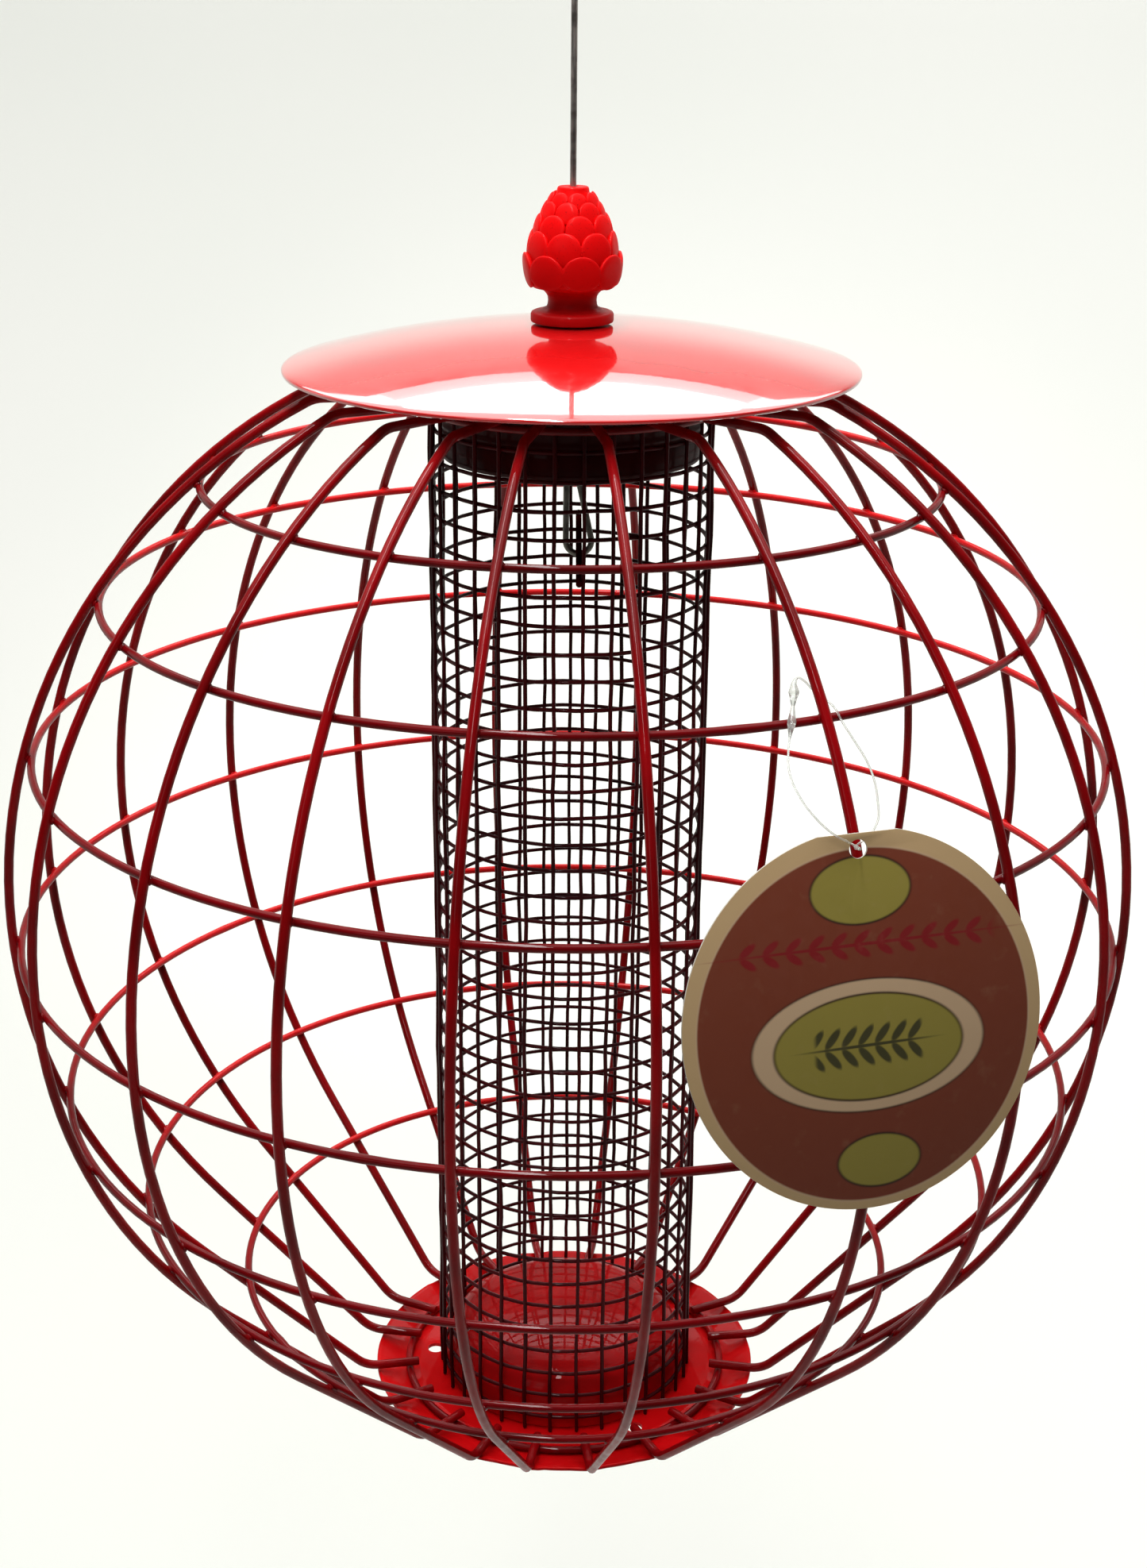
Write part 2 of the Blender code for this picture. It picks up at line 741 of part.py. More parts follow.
def make_finial(lid_root):
    """A pine cone: rows of scale tips, each row turned half a scale on."""
    count = 2 * cone_scale_count
    socket = nipple_hole_radius
    socket_depth = nipple_in_finial + seat_gap
    cone_base = finial_neck_height
    cone_height = finial_height - cone_base

    def level_ring(bm, radius, height):
        ring = []
        for i in range(count):
            angle = math.tau * i / count
            ring.append(bm.verts.new((radius * math.cos(angle), radius * math.sin(angle), height)))
        return ring

    def scale_ring(bm, radius, height, phase, depth):
        ring = []
        for i in range(count):
            angle = math.tau * i / count
            tip = (i + phase) % 2 == 0
            reach = radius if tip else radius - depth
            drop = -depth / 2 if tip else depth / 2
            ring.append(bm.verts.new((reach * math.cos(angle), reach * math.sin(angle), height + drop)))
        return ring

    def build(bm):
        rings = [
            level_ring(bm, socket, 0.0),
            level_ring(bm, finial_flange_radius, 0.0),
            level_ring(bm, finial_flange_radius, finial_flange_height / 2),
            level_ring(bm, finial_step_radius, finial_flange_height),
            level_ring(bm, finial_neck_radius, finial_neck_height / 2),
            level_ring(bm, finial_neck_radius, cone_base)]
        for row, (rise, reach) in enumerate(cone_row_shares):
            height = cone_base + cone_height * rise
            radius = cone_radius * reach
            rings.append(scale_ring(bm, radius, height, row, scale_depth))
            rings.append(level_ring(bm, radius - scale_root_share * scale_depth, height + scale_depth / 2))
        rings.append(level_ring(bm, cone_tip_radius, finial_height))
        rings.append(level_ring(bm, cable_bore_radius, finial_height))
        rings.append(level_ring(bm, cable_bore_radius, socket_depth))
        rings.append(level_ring(bm, socket, socket_depth))
        for a, b in zip(rings, rings[1:] + rings[:1]):
            bridge(bm, a, b)
    finial = add_object("finial", mesh_from("finial", build), red, lid_root)
    finial.location.z = finial_foot_level - lid_root.location.z


def tag_distance():
    """How far the card's middle lies from the globe's centre.

    The card leans on the two ribs beside its middle, at the point of each rib
    that reaches farthest along the card's normal.
    """
    reach = globe_radius + rib_wire / 2
    nearest = min(abs(rib_azimuth(i) - tag_azimuth) for i in range(rib_count))
    across = math.cos(tag_lean) * math.cos(nearest)
    up = math.sin(tag_lean)
    return reach * math.hypot(across, up) + seat_gap + tag_card / 2


def make_tag(globe):
    """The card and its tie, hung from a pivot on the rib."""
    azimuth = rib_azimuth(tie_rib_count)
    latitude = ring_latitudes[1] + tie_rise / globe_radius
    pivot = outward(azimuth) * (globe_radius * math.cos(latitude))
    pivot.z = globe_level + globe_radius * math.sin(latitude)
    hang = add_empty("tag_pivot", pivot)

    right = rightward(azimuth)
    out = outward(azimuth)
    up = Vector((0.0, 0.0, 1.0))
    route = [tuple(share * tie_drop for share in row[:3]) + (row[3],) for row in tie_route_shares]
    made = smooth_points(route, tie_steps, True)
    points = [right * a + out * b + up * c for a, b, c, swell in made]
    swells = [swell for a, b, c, swell in made]
    tie = curve_tube("tag_tie", points, tie_wire / 2, clear_plastic, closed=True, swell=swells, resolution=1)
    tie.parent = hang

    normal = outward(tag_azimuth) * math.cos(tag_lean) + up * math.sin(tag_lean)
    side = rightward(tag_azimuth)
    rise = normal.cross(side)
    hole = normal * tag_distance() + side * tag_side + rise * tag_hole_rise
    hole.z += globe_level
    rock = add_empty("tag_hole", hole - pivot, hang)

    def build(bm):
        half = tag_card / 2
        flat_half_angle = math.acos(tag_flat_offset / tag_radius)
        outline = []
        for i in range(tag_segments):
            sweep = math.tau - 2 * flat_half_angle
            angle = math.pi / 2 + flat_half_angle + sweep * i / (tag_segments - 1)
            outline.append((tag_radius * math.cos(angle), tag_radius * math.sin(angle) - tag_hole_offset))
        front = [bm.verts.new(side * x + rise * y + normal * half) for x, y in outline]
        back = [bm.verts.new(side * x + rise * y - normal * half) for x, y in outline]
        bridge(bm, front, back)
        bm.faces.new(front)
        bm.faces.new(back)
    tag = add_object("hang_tag", mesh_from("tag", build), card, rock, smooth=False)
    drill(tag, tag_hole_radius, tag_hole_segments, Vector((0.0, 0.0, 0.0)), normal, 2 * (tag_card + overrun))


def build_feeder():
    clear_scene()
    globe = add_empty("globe", (0.0, 0.0, globe_level))
    lid_root = add_empty("lid_guide", (0.0, 0.0, finial_top_level))
    make_ribs(globe)
    make_rings(globe)
    make_plate(globe)
    make_dome(globe)
    make_mesh_tube(globe)
    make_hanging(globe)
    make_lid(lid_root)
    make_tag(globe)


build_feeder()
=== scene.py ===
"""Dresses the caged peanut feeder: wires, mesh, lid, finial, card, finishes, light and camera.

Everything is in metres, +Z up. The hanging point is the origin and the globe's
centre lies at GLOBE_LEVEL under it. Azimuths run from the front, -Y, towards +X.
Tables of outlines are in millimetres.
"""

import logging
import math
from contextlib import contextmanager
from dataclasses import dataclass
from enum import Enum
from typing import Callable, Iterator, Sequence

import bmesh
import bpy
from mathutils import Matrix, Vector


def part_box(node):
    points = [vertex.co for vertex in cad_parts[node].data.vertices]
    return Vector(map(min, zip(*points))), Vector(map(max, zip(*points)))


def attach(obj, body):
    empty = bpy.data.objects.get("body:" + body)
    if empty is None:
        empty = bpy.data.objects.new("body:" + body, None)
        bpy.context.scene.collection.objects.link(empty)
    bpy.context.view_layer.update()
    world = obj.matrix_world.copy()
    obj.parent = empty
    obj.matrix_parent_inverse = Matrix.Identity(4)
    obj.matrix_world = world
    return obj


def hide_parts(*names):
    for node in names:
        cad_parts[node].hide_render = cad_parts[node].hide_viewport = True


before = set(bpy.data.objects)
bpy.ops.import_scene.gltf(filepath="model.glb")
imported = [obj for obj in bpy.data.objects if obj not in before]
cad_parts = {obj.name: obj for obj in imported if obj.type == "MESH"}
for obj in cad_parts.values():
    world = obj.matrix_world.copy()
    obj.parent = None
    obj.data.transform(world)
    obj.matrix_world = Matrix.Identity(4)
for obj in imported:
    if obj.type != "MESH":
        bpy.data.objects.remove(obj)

MM = 0.001
GLOBE_LEVEL = -225.0 * MM
SEAT_GAP = 0.3 * MM
WIRE_SIDES = 12
# Noise keeps mostly to this span
NOISE_SPAN = (0.3, 0.7)
ORIGIN = Vector((0.0, 0.0, 0.0))
X_AXIS = Vector((1.0, 0.0, 0.0))
Y_AXIS = Vector((0.0, 1.0, 0.0))
UP = Vector((0.0, 0.0, 1.0))

Colour = tuple[float, float, float]
Point = tuple[float, float]
Inputs = dict[str | int, object]
Object = bpy.types.Object
Material = bpy.types.Material
Socket = bpy.types.NodeSocket

log = logging.getLogger("feeder")


class Body(Enum):
    """The bodies that pieces ride on."""

    CAGE = "cage"
    LID = "lid"
    TIE = "tie"
    TAG = "tag"


def outward(azimuth: float) -> Vector:
    """The level direction out from the axis at an azimuth."""
    return Vector((math.sin(azimuth), -math.cos(azimuth), 0.0))


def rightward(azimuth: float) -> Vector:
    """The level direction to the right along the cage at an azimuth."""
    return Vector((math.cos(azimuth), math.sin(azimuth), 0.0))


def raised(height: float) -> Matrix:
    """A move straight up."""
    return Matrix.Translation(UP * height)


def metres(points: Sequence[Point]) -> list[Point]:
    """An outline that is given in millimetres, in metres."""
    return [(radius * MM, height * MM) for radius, height in points]


# The bench


def clear_bench() -> None:
    """Deselects everything, the carried nodes too."""
    bpy.ops.object.select_all(action="DESELECT")


def take_up(*items: Object) -> None:
    """Selects pieces alone, the first of them active."""
    clear_bench()
    for item in items:
        item.select_set(True)
    bpy.context.view_layer.objects.active = items[0]


def select_all() -> None:
    """Selects every vertex of the open piece."""
    bpy.ops.mesh.select_mode(type="VERT")
    bpy.ops.mesh.select_all(action="SELECT")


@contextmanager
def opened(item: Object) -> Iterator[None]:
    """Opens one piece in edit mode, all of it selected, and closes it again."""
    take_up(item)
    bpy.ops.object.mode_set(mode="EDIT")
    select_all()
    try:
        yield
    finally:
        bpy.ops.object.mode_set(mode="OBJECT")


def settle(item: Object, name: str) -> Object:
    """Names a new primitive and puts its place into its mesh."""
    item.name = name
    item.data.name = name
    bpy.ops.object.transform_apply(location=True, rotation=True, scale=True)
    return item


def add_section(
        name: str, radius: float, sides: int, place: Vector, heading: Vector, filled: bool = True) -> Object:
    """Adds the round section of a wire.

    Args:
        name: The piece's name.
        radius: The wire's radius.
        sides: How many sides the section has.
        place: The section's centre.
        heading: The direction in which the wire leaves it.
        filled: Whether the section is closed by a face.

    Returns:
        The new piece.
    """
    clear_bench()
    turn = heading.to_track_quat("Z", "Y").to_euler()
    fill = "NGON" if filled else "NOTHING"
    bpy.ops.mesh.primitive_circle_add(
        vertices=sides, radius=radius, fill_type=fill, location=place, rotation=turn)
    return settle(bpy.context.object, name)


def pick(item: Object, test: Callable[[Vector], bool]) -> int:
    """Selects the vertices of the open piece whose place passes a test, and counts them."""
    bpy.ops.mesh.select_mode(type="VERT")
    shape = bmesh.from_edit_mesh(item.data)
    for part in (shape.verts, shape.edges, shape.faces):
        for element in part:
            element.select_set(False)
    found = [vertex for vertex in shape.verts if test(vertex.co)]
    for vertex in found:
        vertex.select_set(True)
    shape.select_flush(True)
    bmesh.update_edit_mesh(item.data)
    return len(found)


def close_up() -> None:
    """Merges doubles of the open piece and turns its faces outwards."""
    select_all()
    bpy.ops.mesh.remove_doubles(threshold=1e-7)
    bpy.ops.mesh.normals_make_consistent(inside=False)


def push_out(step: Vector) -> None:
    """Extrudes what is selected of the open piece."""
    bpy.ops.mesh.extrude_region_move(TRANSFORM_OT_translate={"value": step})


def spin_round(steps: int) -> None:
    """Spins what is selected of the open piece once about the Z axis, and closes it up."""
    bpy.ops.mesh.spin(steps=steps, dupli=False, angle=math.tau, center=ORIGIN, axis=UP)
    close_up()


def smooth(item: Object, angle: float = 40.0) -> Object:
    """Shades a piece smooth, with edges sharper than the angle left crisp."""
    take_up(item)
    bpy.ops.object.shade_smooth_by_angle(angle=math.radians(angle))
    return item


def modify(item: Object, kind: str, **settings: object) -> None:
    """Adds a modifier to a piece, sets it and applies it."""
    modifier = item.modifiers.new(kind.lower(), kind)
    for key, value in settings.items():
        setattr(modifier, key, value)
    bpy.context.view_layer.update()
    take_up(item)
    bpy.ops.object.modifier_apply(modifier=modifier.name)


def copy_of(item: Object, name: str, move: Matrix) -> Object:
    """A copy of a piece with its own mesh, moved in its mesh."""
    mesh = item.data.copy()
    mesh.name = name
    mesh.transform(move)
    twin = bpy.data.objects.new(name, mesh)
    bpy.context.scene.collection.objects.link(twin)
    return twin


def joined(name: str, items: Sequence[Object]) -> Object:
    """Joins pieces into one, under a new name."""
    take_up(*items)
    bpy.ops.object.join()
    items[0].name = name
    items[0].data.name = name
    return items[0]


def prism(name: str, radius: float, sides: int, foot: Vector, height: float) -> Object:
    """Draws an upright prism out of its foot's section."""
    item = add_section(name, radius, sides, foot, UP)
    with opened(item):
        push_out(UP * height)
        close_up()
    return item


def drill(item: Object, radius: float, sides: int, foot: Vector, height: float) -> None:
    """Drills an upright hole into a piece."""
    cutter = prism("drill", radius, sides, foot, height)
    modify(item, "BOOLEAN", operation="DIFFERENCE", solver="EXACT", object=cutter)
    bpy.data.objects.remove(cutter)


def hoop(name: str, wire: float, sides: int, radius: float, height: float, steps: int) -> Object:
    """Rolls a wire into a level hoop about the Z axis.

    Args:
        name: The piece's name.
        wire: The wire's radius.
        sides: The sides of its section.
        radius: The hoop's radius to the middle of the wire.
        height: The hoop's height.
        steps: The steps of the hoop.

    Returns:
        The hoop.
    """
    item = add_section(name, wire, sides, Vector((radius, 0.0, height)), Y_AXIS, filled=False)
    with opened(item):
        spin_round(steps)
    return item


def lathe(name: str, profile: Sequence[Point], steps: int, closed: bool, foot: float = 0.0) -> Object:
    """Spins a profile about the Z axis.

    Args:
        name: The piece's name.
        profile: Points (radius, height over the foot), in metres.
        steps: How many steps the spin takes.
        closed: Whether the profile is a closed loop, for a piece with a bore.
        foot: The height that the profile's heights are counted from.

    Returns:
        The turned piece.
    """
    clear_bench()
    bpy.ops.mesh.primitive_plane_add(size=MM)
    item = settle(bpy.context.object, name)
    with opened(item):
        bpy.ops.mesh.merge(type="CENTER")
        place = Vector((profile[0][0], 0.0, foot + profile[0][1]))
        bpy.ops.transform.translate(value=place)
        for radius, height in profile[1:]:
            step = Vector((radius, 0.0, foot + height)) - place
            bpy.ops.mesh.extrude_vertices_move(TRANSFORM_OT_translate={"value": step})
            place += step
        if closed:
            shape = bmesh.from_edit_mesh(item.data)
            for vertex in shape.verts:
                vertex.select_set(len(vertex.link_edges) == 1)
            bmesh.update_edit_mesh(item.data)
            bpy.ops.mesh.edge_face_add()
        select_all()
        spin_round(steps)
    return item


def draw_curve(name: str, points: Sequence[Vector]) -> Object:
    """Draws a smooth curve through points."""
    curve = bpy.data.curves.new(name, "CURVE")
    curve.dimensions = "3D"
    spline = curve.splines.new("BEZIER")
    spline.bezier_points.add(len(points) - 1)
    for knot, point in zip(spline.bezier_points, points):
        knot.co = point
        knot.handle_left_type = knot.handle_right_type = "AUTO"
    item = bpy.data.objects.new(name, curve)
    bpy.context.scene.collection.objects.link(item)
    return item


class WireBench:
    """Feeds a round wire and turns it in one plane, as a wire bender does."""

    def __init__(
            self, name: str, radius: float, sides: int, start: Vector, heading: Vector, axis: Vector) -> None:
        """Lays the wire's first section down.

        Args:
            name: The piece's name.
            radius: The wire's radius.
            sides: The sides of its section.
            start: Where the wire starts.
            heading: The direction in which it is fed.
            axis: The axis about which it is turned, by the right hand.
        """
        self.place = start.copy()
        self.heading = heading.normalized()
        self.axis = axis.normalized()
        self.sides = sides
        self.item = add_section(name, radius, sides, start, heading)
        bpy.ops.object.mode_set(mode="EDIT")
        select_all()

    def feed(self, length: float) -> None:
        """Feeds a straight length."""
        step = self.heading * length
        push_out(step)
        self.place += step

    def turn(self, radius: float, angle: float, steps: int) -> None:
        """Turns the wire round a former.

        Args:
            radius: The former's radius, to the wire's centreline.
            angle: The turn, by the right hand about the bench's axis.
            steps: The steps of the turn.
        """
        centre = self.place + self.axis.cross(self.heading) * radius
        bpy.ops.mesh.spin(steps=steps, dupli=False, angle=-angle, center=centre, axis=self.axis)
        turned = Matrix.Rotation(angle, 3, self.axis)
        self.place = centre + turned @ (self.place - centre)
        self.heading = turned @ self.heading

    def cut(self, chamfer: float) -> Object:
        """Cuts the wire off and breaks the edges of both ends."""
        close_up()
        bpy.ops.mesh.select_all(action="DESELECT")
        bpy.ops.mesh.select_mode(type="FACE")
        bpy.ops.mesh.select_face_by_sides(number=self.sides, type="EQUAL")
        bpy.ops.mesh.bevel(offset=chamfer, segments=2, affect="EDGES")
        bpy.ops.object.mode_set(mode="OBJECT")
        return smooth(self.item)


def dress(item: Object, *materials: Material) -> Object:
    """Gives a piece its materials, in the order of its slots."""
    item.data.materials.clear()
    for material in materials:
        item.data.materials.append(material)
    return item


def hand_over(item: Object, body: Body, slot: str, *nodes: str, material: Material | None = None) -> Object:
    """Gives a finished piece to the frame.

    Args:
        item: The piece, in place.
        body: The body it rides on.
        slot: The record's material slot that its finish comes from; not used.
        nodes: The nodes that it stands for.
        material: Its material, unless it has its own already.

    Returns:
        The piece.
    """
    if material:
        dress(item, material)
    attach(item, body.value)
    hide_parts(*nodes)
    log.info("%s rides on %s and stands for %s", item.name, body.value, ", ".join(nodes))
    return item


# Finishes


class Recipe:
    """The node tree of a material or of the world while it is being made."""

    def __init__(self, owner: Material | bpy.types.World) -> None:
        """Opens the owner's tree, with its shader and its coordinates."""
        owner.use_nodes = True
        self.owner = owner
        self.tree = owner.node_tree
        self.shader = self.tree.nodes.get("Principled BSDF") or self.tree.nodes["Background"]
        self.space = self.node("ShaderNodeTexCoord").outputs

    def node(self, kind: str, inputs: Inputs | None = None, **options: object) -> bpy.types.Node:
        """Adds a node, sets its options and fills its inputs."""
        made = self.tree.nodes.new(kind)
        for key, value in options.items():
            setattr(made, key, value)
        self.fill(made, inputs or {})
        return made

    def fill(self, node: bpy.types.Node, inputs: Inputs) -> None:
        """Fills a node's inputs, each with an output, a colour or a constant."""
        for key, value in inputs.items():
            socket = node.inputs[key]
            if isinstance(value, Socket):
                self.tree.links.new(value, socket)
            else:
                socket.default_value = (*value, 1.0) if socket.type == "RGBA" else value

    def noise(self, scale: float, detail: float = 3.0, stretch: Colour = (1.0, 1.0, 1.0)) -> Socket:
        """Noise on the piece's own coordinates.

        Args:
            scale: Waves per metre.
            detail: The octaves of finer noise.
            stretch: How much the pattern is squeezed along each axis.

        Returns:
            The noise's value.
        """
        place = self.node("ShaderNodeMapping", {"Vector": self.space["Object"], "Scale": stretch}).outputs[0]
        made = self.node("ShaderNodeTexNoise", {"Vector": place, "Scale": scale, "Detail": detail})
        return made.outputs["Fac"]

    def ramp(self, value: Socket, start: float, end: float, low: float = 0.0, high: float = 1.0,
             easing: str = "SMOOTHSTEP") -> Socket:
        """Maps a value from start and end to low and high."""
        inputs = {"Value": value, "From Min": start, "From Max": end, "To Min": low, "To Max": high}
        return self.node("ShaderNodeMapRange", inputs, interpolation_type=easing).outputs["Result"]

    def spread(self, scale: float, low: float, high: float, detail: float = 3.0) -> Socket:
        """Noise whose usual range is spread from low to high."""
        return self.ramp(self.noise(scale, detail), *NOISE_SPAN, low, high)

    def tint(self, share: Socket, first: object, second: object) -> Socket:
        """Mixes two colours, each a colour or an output."""
        return self.node("ShaderNodeMix", {0: share, 6: first, 7: second}, data_type="RGBA").outputs[2]

    def reckon(self, operation: str, *values: object) -> Socket:
        """Works one sum on outputs and numbers."""
        return self.node("ShaderNodeMath", dict(enumerate(values)), operation=operation).outputs[0]

    def parts_of(self, vector: Socket) -> bpy.types.NodeOutputs:
        """A vector's X, Y and Z."""
        return self.node("ShaderNodeSeparateXYZ", {0: vector}).outputs

    def surface(self, colour: Socket, rough: Socket, height: Socket, strength: float, depth: float,
                constants: Inputs) -> Material:
        """Connects a finish to the shader.

        Args:
            colour: The base colour.
            rough: The roughness.
            height: The height that bumps the surface and its clear coat.
            strength: The strength of the bump.
            depth: The depth of the bump.
            constants: The shader's other inputs.

        Returns:
            The material.
        """
        bump = self.node("ShaderNodeBump", {"Strength": strength, "Distance": depth, "Height": height})
        normal = bump.outputs[0]
        self.fill(self.shader, {
            "Base Color": colour, "Roughness": rough, "Normal": normal, "Coat Normal": normal})
        self.fill(self.shader, constants)
        return self.owner


@dataclass(frozen=True)
class Enamel:
    """Glossy enamel over bent or pressed steel."""

    name: str
    colour: Colour
    deep: Colour
    roughness: float = 0.5
    specular: float = 0.06
    coat: float = 0.25
    coat_roughness: float = 0.03
    coat_index: float = 1.5
    drift_scale: float = 42.0
    drift_span: Point = (0.35, 0.68)
    pit_scale: float = 2600.0
    pit_span: Point = (0.62, 0.78)
    pit_share: float = 0.5
    gloss_scale: float = 160.0
    gloss_shares: Point = (0.8, 1.25)
    peel_scale: float = 900.0
    peel: float = 0.05
    peel_depth: float = 0.12 * MM
    # A lighter tint that the colour turns to along one axis: painted light, where it is set
    painted_light: Colour | None = None
    painted_light_axis: str = "Y"
    painted_light_span: Point = (-35.0 * MM, 75.0 * MM)

    def material(self) -> Material:
        """Enamel whose depth drifts, with orange peel, pits, thin gloss changes and, where set, painted light
        along one axis.
        """
        recipe = Recipe(bpy.data.materials.new(self.name))
        drift = recipe.ramp(recipe.noise(self.drift_scale), *self.drift_span)
        body = recipe.tint(drift, self.colour, self.deep)
        # Painted light: the colour turns to the lighter tint along the axis, standing in for light that falls
        # on that side
        if self.painted_light:
            along = recipe.parts_of(recipe.space["Object"])[self.painted_light_axis]
            body = recipe.tint(recipe.ramp(along, *self.painted_light_span), body, self.painted_light)
        pits = recipe.ramp(recipe.noise(self.pit_scale, 1.0), *self.pit_span, 0.0, self.pit_share)
        low, high = self.gloss_shares
        rough = recipe.spread(self.gloss_scale, self.roughness * low, self.roughness * high)
        return recipe.surface(
            recipe.tint(pits, body, self.deep), rough,
            recipe.noise(self.peel_scale, 2.0), self.peel, self.peel_depth,
            {"Coat Weight": self.coat, "Coat Roughness": self.coat_roughness, "Coat IOR": self.coat_index,
             "Specular IOR Level": self.specular})


@dataclass(frozen=True)
class BareMetal:
    """Drawn, turned or plated metal with fine marks along one axis."""

    name: str
    colour: Colour
    stain: Colour
    roughness: float = 0.34
    marks: Colour = (1.0, 1.0, 0.06)
    mark_scale: float = 2200.0
    mark_bump: float = 0.25
    mark_depth: float = 0.05 * MM
    stain_scale: float = 300.0
    stain_span: Point = (0.4, 0.75)
    stain_share: float = 0.8
    gloss_shares: Point = (0.7, 1.4)

    def material(self) -> Material:
        """Metal with fine marks and a dull stain."""
        recipe = Recipe(bpy.data.materials.new(self.name))
        stain = recipe.ramp(recipe.noise(self.stain_scale), *self.stain_span, 0.0, self.stain_share)
        marks = recipe.noise(self.mark_scale, 2.0, self.marks)
        low, high = self.gloss_shares
        rough = recipe.ramp(marks, *NOISE_SPAN, self.roughness * low, self.roughness * high)
        return recipe.surface(
            recipe.tint(stain, self.colour, self.stain), rough,
            marks, self.mark_bump, self.mark_depth, {"Metallic": 1.0})


@dataclass(frozen=True)
class ClearPlastic:
    """Clear moulded plastic, slightly clouded."""

    name: str
    colour: Colour
    milky: Colour
    roughness: float
    transmission: float
    index: float = 1.5
    cloud_scale: float = 700.0
    cloud_span: Point = (0.35, 0.7)
    cloud_share: float = 0.5
    gloss_scale: float = 1500.0
    gloss_shares: Point = (0.7, 1.4)
    flow_scale: float = 1200.0
    flow_bump: float = 0.12
    flow_depth: float = 0.05 * MM

    def material(self) -> Material:
        """Clouded clear plastic with flow marks."""
        recipe = Recipe(bpy.data.materials.new(self.name))
        cloud = recipe.ramp(recipe.noise(self.cloud_scale), *self.cloud_span, 0.0, self.cloud_share)
        low, high = self.gloss_shares
        rough = recipe.spread(self.gloss_scale, self.roughness * low, self.roughness * high)
        return recipe.surface(
            recipe.tint(cloud, self.colour, self.milky), rough,
            recipe.noise(self.flow_scale), self.flow_bump, self.flow_depth,
            {"IOR": self.index, "Transmission Weight": self.transmission})


@dataclass(frozen=True)
class Board:
    """Coated card stock."""

    name: str
    colour: Colour
    fibre: Colour
    fibre_scale: float = 1400.0
    fibre_stretch: Colour = (1.0, 1.0, 0.3)
    fibre_span: Point = (0.4, 0.7)
    fibre_share: float = 0.7
    gloss_scale: float = 500.0
    gloss: Point = (0.55, 0.75)
    grain_scale: float = 2400.0
    grain_bump: float = 0.2
    grain_depth: float = 0.04 * MM

    def material(self) -> Material:
        """Card with fibres and a dull sheen."""
        recipe = Recipe(bpy.data.materials.new(self.name))
        strands = recipe.noise(self.fibre_scale, 4.0, self.fibre_stretch)
        fibres = recipe.ramp(strands, *self.fibre_span, 0.0, self.fibre_share)
        return recipe.surface(
            recipe.tint(fibres, self.colour, self.fibre), recipe.spread(self.gloss_scale, *self.gloss),
            recipe.noise(self.grain_scale), self.grain_bump, self.grain_depth, {})


